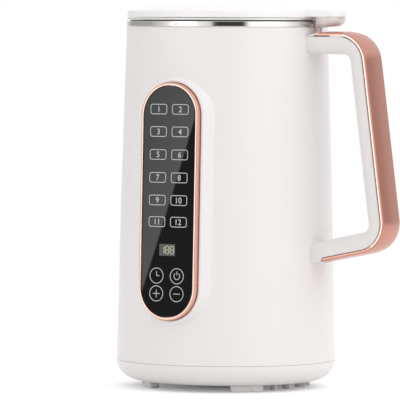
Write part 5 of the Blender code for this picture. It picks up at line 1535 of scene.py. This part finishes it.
@dataclass
class Lid:
    """Domed lid with its tongue, catch and key, and the steel dish, seal and foam probe below."""

    low_z: float = 236.2
    top_z: float = 244.8
    radius: float = 64.1
    fall: float = 3.4
    wall: float = 2.2
    foot_edge: float = 0.4
    dome: tuple[Pair, ...] = (
        (0.992, 1.22), (0.915, 0.95), (0.865, 0.72), (0.827, 0.54),
        (0.75, 0.36), (0.587, 0.18), (0.3, 0.05), (0.0, 0.0),
    )
    shoulder: float = 1.1
    hollow_gap: float = 0.5
    hollow_drop: float = 1.0
    tongue_start: float = 52.0
    tongue_reach: float = 84.6
    tongue_low: float = 236.9
    tongue_half: float = 11.0
    tongue_top: float = 241.5
    tongue_edge: float = 1.5
    tongue_foot: float = 0.3
    tongue_crown: tuple[Pair, Pair] = ((4.0, 0.12), (8.0, 0.18))
    catch_middle: float = 75.1
    catch_size: Pair = (16.5, 21.0)
    catch_corner: float = 7.5
    catch_least: float = 0.6
    catch_levels: Pair = (229.9, 237.0)
    catch_fillet: float = 4.8
    catch_side: float = 0.25
    catch_flat: float = 2.0
    catch_fall: float = 1.3
    key_reach: float = 69.75
    key_size: Pair = (4.4, 10.0)
    key_corner: float = 0.8
    key_sharpen: float = 0.7
    key_rows: tuple[Pair, ...] = ((0.7, 224.0), (0.25, 224.25), (0.0, 224.8), (0.0, 226.1), (0.3, 226.6))
    neck_size: Pair = (3.0, 4.0)
    neck_corner: float = 1.4
    neck_reach: float = 67.1
    neck_levels: Pair = (226.7, 232.5)
    plate_z: float = 234.7
    plate_wall: float = 1.0
    plate_bend: float = 0.6
    plate_end: float = 1.4
    roll: float = 0.72
    roll_middle: Pair = (0.62, 0.55)
    dish_floor: float = 225.0
    dish_radius: float = 54.0
    dish_bend: float = 2.0
    seal_gap: float = 0.3
    seal_low: float = 226.9
    seal_lip: tuple[Pair, ...] = ((0.3, 0.0), (0.75, 0.35), (1.1, 1.4), (0.75, 2.8), (0.75, 6.4))
    seal_root: float = 1.05
    seal_foot: float = 0.2
    seal_flange: float = 233.9
    seal_top: float = 234.4
    seal_outer: float = 62.0
    probe_reach: float = 22.0
    probe_radius: float = 2.5
    probe_length: float = 13.0
    probe_top: float = 224.7
    probe_collar: Pair = (5.0, 2.5)
    probe_edge: float = 0.4
    probe_sunk: float = 3.0
    sharp: float = 30.0

    def dome_line(self, inward: float) -> Array:
        """Draw the dome from its shoulder to the axis.

        Args:
            inward: How far the line is drawn in and lowered, for the dome's inner side.

        Returns:
            Radius and height of each point.
        """
        share, drop = np.array(self.dome).T
        height = self.top_z - inward - self.fall * drop
        return eased_line(np.column_stack([share * (self.radius - inward), height]))

    def shell(self) -> Patch:
        """Turn the lid: side wall, rounded shoulder, dome, and the hollow below it.

        Returns:
            A surface closed at the axis.
        """
        edge, inside = self.radius - self.shoulder, self.radius - self.wall
        dome, hollow = self.dome_line(0.0), self.dome_line(self.wall)[::-1]
        dome, hollow = dome[dome[:, 0] < edge], hollow[hollow[:, 0] < inside - self.hollow_gap]
        slope = (dome[1, 1] - dome[0, 1]) / (dome[0, 0] - dome[1, 0])
        rim_z = dome[0, 1] - slope * (edge - dome[0, 0])
        foot = (self.radius - self.foot_edge, self.low_z + self.foot_edge)
        steepest = 90 - math.degrees(math.atan(slope))
        return turned(np.concatenate([
            hollow, line((inside, hollow[-1, 1] - self.hollow_drop), (inside, self.low_z)),
            arc(foot, self.foot_edge, -90, 0, 4),
            arc((edge, rim_z - self.shoulder), self.shoulder, 0, steepest, 8), dome,
        ]))

    def tongue(self) -> Patch:
        """Stack the tongue's outlines: straight sides, a half round end and rounded upper edges.

        Returns:
            A closed shape.
        """
        angle = np.linspace(0, math.pi / 2, 9)
        crown, edge, foot = line(*self.tongue_crown), self.tongue_edge, self.tongue_foot
        inset = np.concatenate([[foot, 0.0], edge * (1 - np.cos(angle)), crown[:, 0]])
        height = np.concatenate([
            [self.tongue_low, self.tongue_low + foot],
            self.tongue_top - edge * (1 - np.sin(angle)), self.tongue_top + crown[:, 1],
        ])
        rings = []
        for half, level in zip(self.tongue_half - inset, height):
            end = arc((self.tongue_reach - self.tongue_half, 0), half, -90, 90, 40)
            sides = line((self.tongue_start, -half), (self.tongue_start, half))
            rings.append((np.concatenate([sides[:1], end, sides[1:]]), level))
        return TABLE.stack(rings)

    def catch(self) -> Patch:
        """Shape the glossy shell under the tongue.

        The rings run down from the flat top. The underside is rounded like a quarter ellipse, and its
        depth shrinks by fall from the lid's side to the far end.

        Returns:
            A closed shell.
        """
        low, high = self.catch_levels
        angle = np.linspace(0, math.pi / 2, 12)
        rounding = self.catch_fillet * (1 - np.cos(angle))
        inset = np.concatenate([[0.0], rounding, [self.catch_fillet + self.catch_flat]])
        share = np.concatenate([[0.0], self.catch_side + (1 - self.catch_side) * np.sin(angle), [1.0]])
        length, width = self.catch_size
        rings = []
        for shrink, depth in zip(inset, share):
            corner = max(self.catch_corner - shrink, self.catch_least)
            flat = rounded_outline(length - 2 * shrink, width - 2 * shrink, corner, 10)
            reach = np.clip((flat[:, 0] + length / 2) / length, 0, 1)
            level = high - depth * (high - low - self.catch_fall * reach)
            rings.append((flat + [self.catch_middle, 0], level))
        return TABLE.stack(rings)

    def key(self) -> Patch:
        """Stack the key: a lead-in at its foot, a round shoulder, and a slender neck up to the catch.

        Returns:
            A closed key.
        """
        length, width = self.key_size
        rings = []
        for shrink, level in self.key_rows:
            corner = self.key_corner - shrink * self.key_sharpen
            flat = rounded_outline(length - 2 * shrink, width - 2 * shrink, corner)
            rings.append((flat + [self.key_reach, 0], level))
        neck = rounded_outline(*self.neck_size, self.neck_corner) + [self.neck_reach, 0]
        return TABLE.stack([*rings, *[(neck, level) for level in self.neck_levels]])

    def dish_profile(self) -> Array:
        """Draw the dish: dished floor, drum with its bend, and the flange with its rolled edge.

        Returns:
            Points of radius and height from the axis to the axis.
        """
        bend, wall, small = self.dish_bend, self.plate_wall, self.plate_bend
        corner = (self.dish_radius - bend, self.dish_floor + bend)
        inward, rise = self.roll_middle
        return np.concatenate([
            line((0, self.dish_floor)), arc(corner, bend, -90, 0, 6),
            arc((self.dish_radius + small, self.plate_z - small), small, 180, 90, 4),
            arc((self.radius - inward, self.plate_z + rise), self.roll, -105, 105, 10),
            line((self.radius - self.plate_end, self.plate_z + wall)),
            line((self.dish_radius - wall, self.plate_z + wall)),
            arc(corner, bend - wall, 0, -90, 4), line((0, self.dish_floor + wall)),
        ])

    def seal_profile(self) -> Array:
        """Draw the seal: flange between rim and plate, skirt round the drum, and its bulging lip.

        Returns:
            A closed loop of radius and height.
        """
        inner, edge = self.dish_radius + self.seal_gap, (self.seal_top - self.seal_flange) / 2
        return np.concatenate([
            eased_line(line(*self.seal_lip) + [inner, self.seal_low], 5),
            line((inner + self.seal_root, self.seal_flange)),
            arc((self.seal_outer - edge, self.seal_flange + edge), edge, -90, 90, 4),
            line((inner, self.seal_top), (inner, self.seal_low + self.seal_foot)),
        ])

    def probe_profile(self) -> Array:
        """Draw the foam probe: round tip, rod and collar.

        Returns:
            Points of radius and height from the axis to the axis.
        """
        top, radius, edge = self.probe_top, self.probe_radius, self.probe_edge
        reach, height = self.probe_collar
        return np.concatenate([
            arc((0, top - self.probe_length + radius), radius, -90, 0, 6), line((radius, top - height)),
            arc((reach - edge, top - height + edge), edge, -90, 0, 3),
            line((reach, top), (radius, top), (radius, top + self.probe_sunk), (0, top + self.probe_sunk)),
        ])

    def build(self) -> None:
        """Build everything that lifts off with the lid."""
        rod = moved(turned(self.probe_profile(), SMALL_STEPS), (self.probe_reach, 0, 0))
        make_pieces(Body.LID, (
            ("lid_shell", [self.shell(), self.tongue()], GLOSS_ABS, "lid_cover", "white_abs", self.sharp),
            # The catch's colour paints its shade under the tongue and the rose gold's reflection.
            ("catch_shell", [self.catch()], CATCH_ABS_PAINTED_SHADE, "lid_tongue_shell", "white_abs"),
            ("lid_key", [self.key()], BLUSH_ABS, "interlock_post", "blush_abs"),
            ("steel_dish", [turned(self.dish_profile())], PLATE_STEEL, "lid_plate", "stainless_steel"),
            ("seal_ring", [turned(self.seal_profile(), closed=True)], SILICONE, "lid_seal", "silicone"),
            ("foam_probe", [rod], ROD_STEEL, "overflow_probe", "stainless_steel"),
        ))


@dataclass
class Cutter:
    """Four-armed blade with its nut, on the drive shaft."""

    low_z: float = 115.2
    hub_height: float = 3.6
    hub_radius: float = 6.0
    bore: float = 3.1
    reach: float = 27.0
    bend: float = 9.0
    thickness: float = 1.5
    half_width: float = 4.6
    tip_half_width: float = 2.6
    tip_round: float = 2.0
    tip_share: float = 0.55
    bevel: float = 1.6
    least_flat: float = 0.2
    ease: float = 0.25
    columns: int = 81
    lifts: Pair = (8.0, -3.5)
    shifts: Pair = (0.75, -0.5)
    edge: float = 0.4
    nut_radius: float = 5.2
    nut_rows: tuple[Pair, ...] = (
        (0.25, 119.1), (0.0, 119.35), (0.0, 122.4), (0.6, 122.8), (1.2, 122.8), (1.7, 123.35), (3.0, 123.7),
    )

    def arms(self, lift: float, shift: float, turn: float) -> Patch:
        """Shape one double-ended bar: flat in the middle, bent tips, ground edges.

        The lift grows evenly with |x| - bend, after an eased start of a quarter of that length. The width
        narrows towards the tips, which are cut round.

        Args:
            lift: Height of the tips over the middle.
            shift: Height of the bar over the hub's middle.
            turn: Direction in radians.

        Returns:
            A closed bar of six-sided sections.
        """
        x = np.linspace(-self.reach, self.reach, self.columns)
        share = np.clip((np.abs(x) - self.bend) / (self.reach - self.bend), 0, 1)
        late = self.ease / 2
        eased = np.where(share < self.ease, share**2 / (2 * self.ease), share - late) / (1 - late)
        half = self.half_width + (self.tip_half_width - self.half_width) * share
        tip = np.clip((self.reach - np.abs(x)) / self.tip_round, 0, 1)
        half = half * (self.tip_share + (1 - self.tip_share) * np.sqrt(1 - (1 - tip) ** 2))
        flat, thick = np.maximum(half - self.bevel, self.least_flat), self.thickness / 2
        height = self.low_z + self.hub_height / 2 + shift + lift * eased
        ring = [(-half, 0), (-flat, -thick), (flat, -thick), (half, 0), (flat, thick), (-flat, thick)]
        points = np.stack([np.column_stack([x, across, height + up]) for across, up in ring], axis=1)
        return moved(Patch(points, caps=True), (0, 0, 0), turn)

    def nut(self) -> Patch:
        """Stack the hexagon nut: its corners are cut off round at the top, and its crown is domed.

        A flat lies at R cos 30 / cos b, with b the angle from the flat's middle, and every row is cut off
        at a radius of its own.

        Returns:
            A closed nut.
        """
        angle, sixth = np.linspace(0, math.tau, 96, endpoint=False), math.pi / 3
        flats = self.nut_radius * math.cos(sixth / 2) / np.cos(angle % sixth - sixth / 2)
        rows = [(np.minimum(flats, self.nut_radius - shrink), level) for shrink, level in self.nut_rows]
        return TABLE.stack([(polar(radius, angle)[:, :2], level) for radius, level in rows])

    def build(self) -> None:
        """Build the blade and its nut."""
        low, top, radius, edge = self.low_z, self.low_z + self.hub_height, self.hub_radius, self.edge
        hub = line(
            (self.bore, low), (radius - edge, low), (radius, low + edge), (radius, top - edge),
            (radius - edge, top), (self.bore, top),
        )
        patches = [turned(hub, SMALL_STEPS, closed=True)]
        for number, (lift, shift) in enumerate(zip(self.lifts, self.shifts)):
            patches.append(self.arms(lift, shift, number * math.pi / 2))
        make_pieces(Body.DRIVE, (
            ("blade_cross", patches, BLADE_STEEL, "blade", "stainless_steel", SHEET_SHARP),
            ("cap_nut", [self.nut()], ZINC, "blade_nut", "stainless_steel", SHEET_SHARP),
        ))


@dataclass
class PowerInlet:
    """Appliance inlet at the back: a black box with a rounded rim and a deep recess."""

    height_z: float = 40.0
    face: float = 68.8
    size: Pair = (29.0, 22.0)
    depth: float = 24.0
    recess: float = 18.0
    corner: float = 3.0
    least_corner: float = 0.9
    wall: float = 2.6
    edge: float = 0.5

    def box(self) -> Patch:
        """Stack the outlines: outside, rounded rim, and the recess down to its floor.

        Returns:
            A closed box whose recess opens to the back.
        """
        edge, soft, wall = self.edge, self.edge * EDGE_SHARE, self.wall
        rows = (
            (0.0, self.depth), (0.0, edge), (soft, soft), (edge, 0.0),
            (wall - edge, 0.0), (wall - soft, soft), (wall, edge), (wall, self.recess),
        )
        rings = []
        for shrink, drop in rows:
            corner = max(self.corner - shrink, self.least_corner)
            flat = rounded_outline(self.size[0] - 2 * shrink, self.size[1] - 2 * shrink, corner, 6)
            rings.append((flat, self.face - drop))
        return Place((0.0, 0.0, self.height_z), (-1.0, 0.0, 0.0), (0.0, 0.0, 1.0)).stack(rings)

    def build(self) -> None:
        """Build the inlet's box."""
        row = ("inlet_box", [self.box()], BLACK_NYLON, "inlet_socket", "black_nylon")
        make_pieces(Body.BASE, (row,))


@dataclass
class Fasteners:
    """Pan head screws with a cross recess; their heads point down."""

    head_height: float = 2.0
    head_dome: float = 2.6
    head_side: tuple[Pair, ...] = ((3.05, -1.15), (3.3, -0.8), (3.3, 0.0))
    shank_radius: float = 1.55
    tip: float = 2.0
    recess_size: Pair = (3.5, 0.8)
    recess_corner: float = 0.15
    recess_levels: Pair = (-3.0, -0.9)
    base_count: int = 3
    base_circle: float = 42.0
    base_z: float = 3.9
    base_length: float = 14.0
    lid_reach: float = 40.0
    lid_z: float = 224.7
    lid_length: float = 11.88

    def screw(self, number: int, place: Point, length: float, body: Body, side: str) -> None:
        """Turn a screw that points up from the plane under its head, and sink a cross in its head.

        Args:
            number: Its number on its side.
            place: Middle of the plane under the head.
            length: Length of the shank.
            body: The body that it moves with.
            side: The side's name.
        """
        name = f"cross_screw_{side}_{number}"
        profile = np.concatenate([
            arc((0, self.head_dome - self.head_height), self.head_dome, -90, -52, 6), line(*self.head_side),
            line((self.shank_radius, 0), (self.shank_radius, length - self.tip), (0, length)),
        ])
        piece = make_mesh(name, [moved(turned(profile, SMALL_STEPS), place)])
        cutters = []
        for size in (self.recess_size, self.recess_size[::-1]):
            bar = TABLE.slab(rounded_outline(*size, self.recess_corner, 2), *self.recess_levels)
            cutters.append(make_mesh(f"{name}_recess", [moved(bar, place)]))
        carve(piece, cutters)
        finished(piece, ZINC, body, [f"{side}_screw_{number}"])

    def build(self) -> None:
        """Build the three screws under the base and the two under the lid."""
        for number in range(1, self.base_count + 1):
            place = polar(self.base_circle, math.tau * (number - 1) / self.base_count, self.base_z)
            self.screw(number, place, self.base_length, Body.BASE, "base")
        for number, reach in enumerate((-self.lid_reach, self.lid_reach), 1):
            self.screw(number, (0.0, reach, self.lid_z), self.lid_length, Body.LID, "lid")


def dress_works() -> None:
    """Give every CAD node that stays visible its own procedural finish."""
    finishes = {
        "motor_bracket_": CAST_ALUMINIUM, "bearing_": ROD_STEEL, "stator_core": LAMINATIONS,
        "rotor_core": LAMINATIONS, "field_coil_": COPPER_WIRE, "commutator": COPPER_BARS,
        "brush_holder_": BRASS, "carbon_brush_": CARBON, "motor_damper_": SILICONE, "motor_bolt_": ZINC,
        "motor_carrier": NATURAL_NYLON, "cooling_fan": BLACK_NYLON, "drive_shaft": ROD_STEEL,
        "heater_plate": CAST_ALUMINIUM, "heater_ring": ROD_STEEL, "seal_nut": BRASS,
        "control_board": GREEN_BOARD, "display_module": DISPLAY_BACK, "power_board": BROWN_BOARD,
        "microswitch": BLACK_NYLON, "interlock_plunger": BLUSH_ABS, "handle_screw_": ZINC,
        "inlet_pin_": ZINC,
    }
    for name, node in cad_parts.items():
        for start, finish in finishes.items():
            if name.startswith(start):
                node.data.materials.clear()
                node.data.materials.append(material_of(finish))
                LOG.info("%s: dressed in %s", name, finish.title)


@dataclass
class Studio:
    """Camera, floor, surroundings and lamp of the product picture.

    Azimuths in degrees run from the camera's side to the right, and elevations from the horizon.
    """

    towards: Pair = (0.5, -0.8660254)
    distance: float = 2870.0
    height: float = 230.7
    pitch: float = 2.224
    yaw: float = 30.341
    roll: float = 0.25
    lens: float = 402.93
    sensor: float = 36.0
    view_end: float = 50.0
    ring: tuple[Pair, ...] = (
        (-180, 1.1), (-160, 0.8), (-139, 0.4), (-98, 0.45), (-80, 0.75), (-71, 1.0), (-63, 1.6), (-57, 2.0),
        (-40, 2.0), (-34, 1.1), (-20, 0.85), (-14, 0.1), (-10, 0.05), (17, 0.05), (20, 0.3), (23, 0.95),
        (29, 1.62), (58, 1.62), (66, 1.3), (75, 1.05), (84, 0.9), (92, 0.75), (98, 0.6), (103, 0.12),
        (115, 0.1), (120, 0.75), (140, 0.68), (160, 0.8), (180, 1.1),
    )
    ring_elevation: Pair = (-14.0, 14.0)
    ring_soft: float = 6.0
    dome: float = 0.882
    dome_side: float = 0.15
    dome_top: float = 0.17
    streak: Pair = (1.0, 1.9)
    streak_slant: float = 0.237
    streak_span: Pair = (-0.5324, -0.5124)
    streak_soft: float = 0.0004
    shade: float = 0.2
    shade_azimuth: Pair = (-61.8, -59.4)
    shade_elevation: Pair = (-4.0, 3.5)
    shade_soft: Pair = (0.4, 0.5)
    floor_radius: float = 1600.0
    floor_levels: Pair = (-20.0, -0.02)
    floor_colour: str = "f0f0f0"
    floor_roughness: float = 0.9
    # Floor glow near the axis and far from it; the dimmer glow near the axis is a painted shadow.
    floor_glow: Pair = (0.06, 0.27)
    glow_end: float = 0.062
    lamp_place: Triple = (2.35, -0.05, 1.5)
    lamp_aim: Triple = (0.0, 0.0, 0.12)
    lamp_size: float = 1.2
    lamp_power: float = 6.0

    def camera(self) -> None:
        """Place the camera: level with the jug's mouth, a little to the right of the front."""
        data = bpy.data.cameras.new("product_camera")
        data.lens, data.sensor_width, data.clip_end = self.lens, self.sensor, self.view_end
        holder = linked("product_camera", data)
        reach = np.array([*self.towards, 0.0]) * self.distance * MM
        holder.location = AXIS + reach + np.array([0, 0, self.height * MM])
        angles = ((self.yaw, "Z"), (90 - self.pitch, "X"), (self.roll, "Z"))
        yaw, pitch, roll = [Matrix.Rotation(math.radians(angle), 4, axis) for angle, axis in angles]
        holder.rotation_euler = (yaw @ pitch @ roll).to_euler()
        bpy.context.scene.camera = holder

    def floor(self) -> None:
        """Lay a round pale floor that looks white where no shadow falls.

        The camera and reflections see it glow, and less so near the axis: the dimmer glow there paints a
        shadow under the machine.
        """
        outline = circle(self.floor_radius, 72)
        disc = make_mesh("studio_floor", [TABLE.slab(outline, *self.floor_levels)])
        material = bpy.data.materials.new("studio floor, white paper")
        material.use_nodes = True
        tree = material.node_tree
        paper = tree.nodes["Principled BSDF"]
        paper.inputs["Base Color"].default_value = linear_colour(self.floor_colour)
        paper.inputs["Roughness"].default_value = self.floor_roughness
        paper.inputs["Specular IOR Level"].default_value = 0.0
        rays = add_node(tree, "LightPath").outputs
        seen = add_node(
            tree, "Math", {"operation": "MAXIMUM"}, {0: rays["Is Camera Ray"], 1: rays["Is Glossy Ray"]}
        ).outputs[0]
        place = add_node(tree, "TexCoord").outputs["Object"]
        reach = add_node(
            tree, "VectorMath", {"operation": "DISTANCE"}, {0: place, 1: tuple(AXIS)}
        ).outputs["Value"]
        # Painted shadow: the glow grows from its low level at the axis to its full level away from the
        # machine.
        away = add_node(tree, "MapRange", {"interpolation_type": "SMOOTHSTEP"}, {
            "Value": reach, "From Max": self.glow_end,
            "To Min": self.floor_glow[0], "To Max": self.floor_glow[1],
        }).outputs["Result"]
        power = add_node(tree, "Math", {"operation": "MULTIPLY"}, {0: seen, 1: away})
        glow = add_node(tree, "Emission", inputs={"Strength": power.outputs[0]})
        both = add_node(tree, "AddShader", inputs={0: paper.outputs[0], 1: glow.outputs[0]})
        tree.links.new(both.outputs[0], tree.nodes["Material Output"].inputs["Surface"])
        disc.data.materials.append(material)

    def band(self, tree: Tree, value: Socket, span: Sequence[float], soft: float) -> Socket:
        """Mark where a value lies within a span, with soft edges.

        Args:
            tree: The world's node tree.
            value: The value to test.
            span: Its lower and upper limit.
            soft: Width of each edge.

        Returns:
            A socket that is one inside and zero outside.
        """
        half = soft / 2
        rise, fall = [
            add_node(tree, "MapRange", {"interpolation_type": "SMOOTHSTEP"}, {
                "Value": value, "From Min": start, "From Max": end,
            }).outputs["Result"]
            for start, end in ((span[0] - half, span[0] + half), (span[1] + half, span[1] - half))
        ]
        return add_node(tree, "Math", {"operation": "MULTIPLY"}, {0: rise, 1: fall}).outputs[0]

    def ring_level(self, tree: Tree, azimuth: Socket) -> Socket:
        """Look up the ring's level: straight lines between the stops, as a curve over the azimuth.

        Args:
            tree: The world's node tree.
            azimuth: The direction's azimuth in radians.

        Returns:
            The level.
        """
        turn = add_node(tree, "MapRange", inputs={
            "Value": azimuth, "From Min": -math.pi, "From Max": math.pi,
        }).outputs["Result"]
        curve = add_node(tree, "FloatCurve", inputs={"Value": turn})
        stops = curve.mapping.curves[0].points
        curve.mapping.use_clip = False
        top = max(level for _, level in self.ring)
        for number, (angle, level) in enumerate(self.ring):
            place = ((angle + 180) / 360, level / top)
            if number < 2:
                stops[number].location = place
            else:
                stops.new(*place)
        for stop in stops:
            stop.handle_type = "VECTOR"
        curve.mapping.update()
        return add_node(tree, "Math", {"operation": "MULTIPLY"}, {0: curve.outputs[0], 1: top}).outputs[0]

    def laid_over(self, tree: Tree, below: Socket, layers: Sequence[tuple]) -> Socket:
        """Lay brightnesses over one another, each where all of its masks are one.

        Args:
            tree: The world's node tree.
            below: The brightness at the bottom.
            layers: Each brightness with its masks, sockets between zero and one.

        Returns:
            The mixed brightness.
        """
        mixed = below
        for above, (mask, *others) in layers:
            for other in others:
                mask = add_node(tree, "Math", {"operation": "MULTIPLY"}, {0: mask, 1: other}).outputs[0]
            inputs = {0: mask, 2: mixed, 3: above}
            mixed = add_node(tree, "Mix", {"data_type": "FLOAT"}, inputs).outputs[0]
        return mixed

    def world(self) -> None:
        """Light the object with a pale dome above a ring of softboxes and dark flags.

        The ring's levels run through the listed stops. Within it lie a dark flag and the slightly tilted
        edge of a softbox, which draws the bright wedge on the glass. The camera itself sees plain white.
        """
        world = bpy.data.worlds.new("studio surround")
        bpy.context.scene.world = world
        world.use_nodes = True
        tree = world.node_tree
        way = add_node(tree, "TexCoord").outputs["Generated"]
        height = add_node(tree, "SeparateXYZ", inputs={"Vector": way}).outputs["Z"]
        east, north = self.towards
        right, ahead, slant = [
            add_node(tree, "VectorMath", {"operation": "DOT_PRODUCT"}, {0: way, 1: axis}).outputs["Value"]
            for axis in ((-north, east, 0.0), (east, north, 0.0), (1.0, 0.0, -self.streak_slant))
        ]
        azimuth, elevation, above, side = [
            add_node(tree, "Math", {"operation": operation}, dict(enumerate(values))).outputs[0]
            for operation, values in (
                ("ARCTAN2", (right, ahead)), ("ARCSINE", (height,)), ("MAXIMUM", (height, 0.0)),
                ("MULTIPLY_ADD", (right, self.dome_side, self.dome)),
            )
        ]
        dome = add_node(
            tree, "Math", {"operation": "MULTIPLY_ADD"}, {0: above, 1: self.dome_top, 2: side}
        ).outputs[0]
        sweep = add_node(tree, "MapRange", inputs={
            "Value": slant, "From Min": self.streak_span[0], "From Max": self.streak_span[1],
            "To Min": self.streak[0], "To Max": self.streak[1],
        }).outputs["Result"]
        around, level, beside = [
            self.band(tree, angle, np.radians(span).tolist(), math.radians(soft)) for angle, span, soft in (
                (elevation, self.ring_elevation, self.ring_soft),
                (elevation, self.shade_elevation, self.shade_soft[1]),
                (azimuth, self.shade_azimuth, self.shade_soft[0]),
            )
        ]
        lit = self.band(tree, slant, self.streak_span, self.streak_soft)
        value = self.laid_over(tree, dome, (
            (self.ring_level(tree, azimuth), [around]), (self.shade, [beside, level]), (sweep, [lit, level]),
            (1.0, [add_node(tree, "LightPath").outputs["Is Camera Ray"]]),
        ))
        background = tree.nodes["Background"]
        background.inputs["Color"].default_value = (1.0, 1.0, 1.0, 1.0)
        tree.links.new(value, background.inputs["Strength"])

    def lamp(self) -> None:
        """Hang a square soft lamp at the right, high up; its place and aim are in metres."""
        data = bpy.data.lights.new("key_softbox", "AREA")
        data.shape, data.size, data.energy = "SQUARE", self.lamp_size, self.lamp_power
        holder = linked("key_softbox", data)
        holder.location = AXIS + np.array(self.lamp_place)
        way = Vector(self.lamp_aim) - Vector(self.lamp_place)
        holder.rotation_euler = way.to_track_quat("-Z", "Y").to_euler()

    def build(self) -> None:
        """Set up the picture."""
        self.camera()
        self.floor()
        self.world()
        self.lamp()
        bpy.context.scene.view_settings.view_transform = "Standard"


def main() -> None:
    """Build every sub-assembly in order."""
    logging.basicConfig(level=logging.INFO, format="%(message)s")
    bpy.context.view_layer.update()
    housing = Housing()
    panel = ControlPanel(housing)
    housing.build(panel.place, *panel.seat())
    Base().build()
    Jug().build()
    panel.build()
    Handle().build()
    Lid().build()
    Cutter().build()
    PowerInlet().build()
    Fasteners().build()
    dress_works()
    Studio().build()


if __name__ == "__main__":
    main()
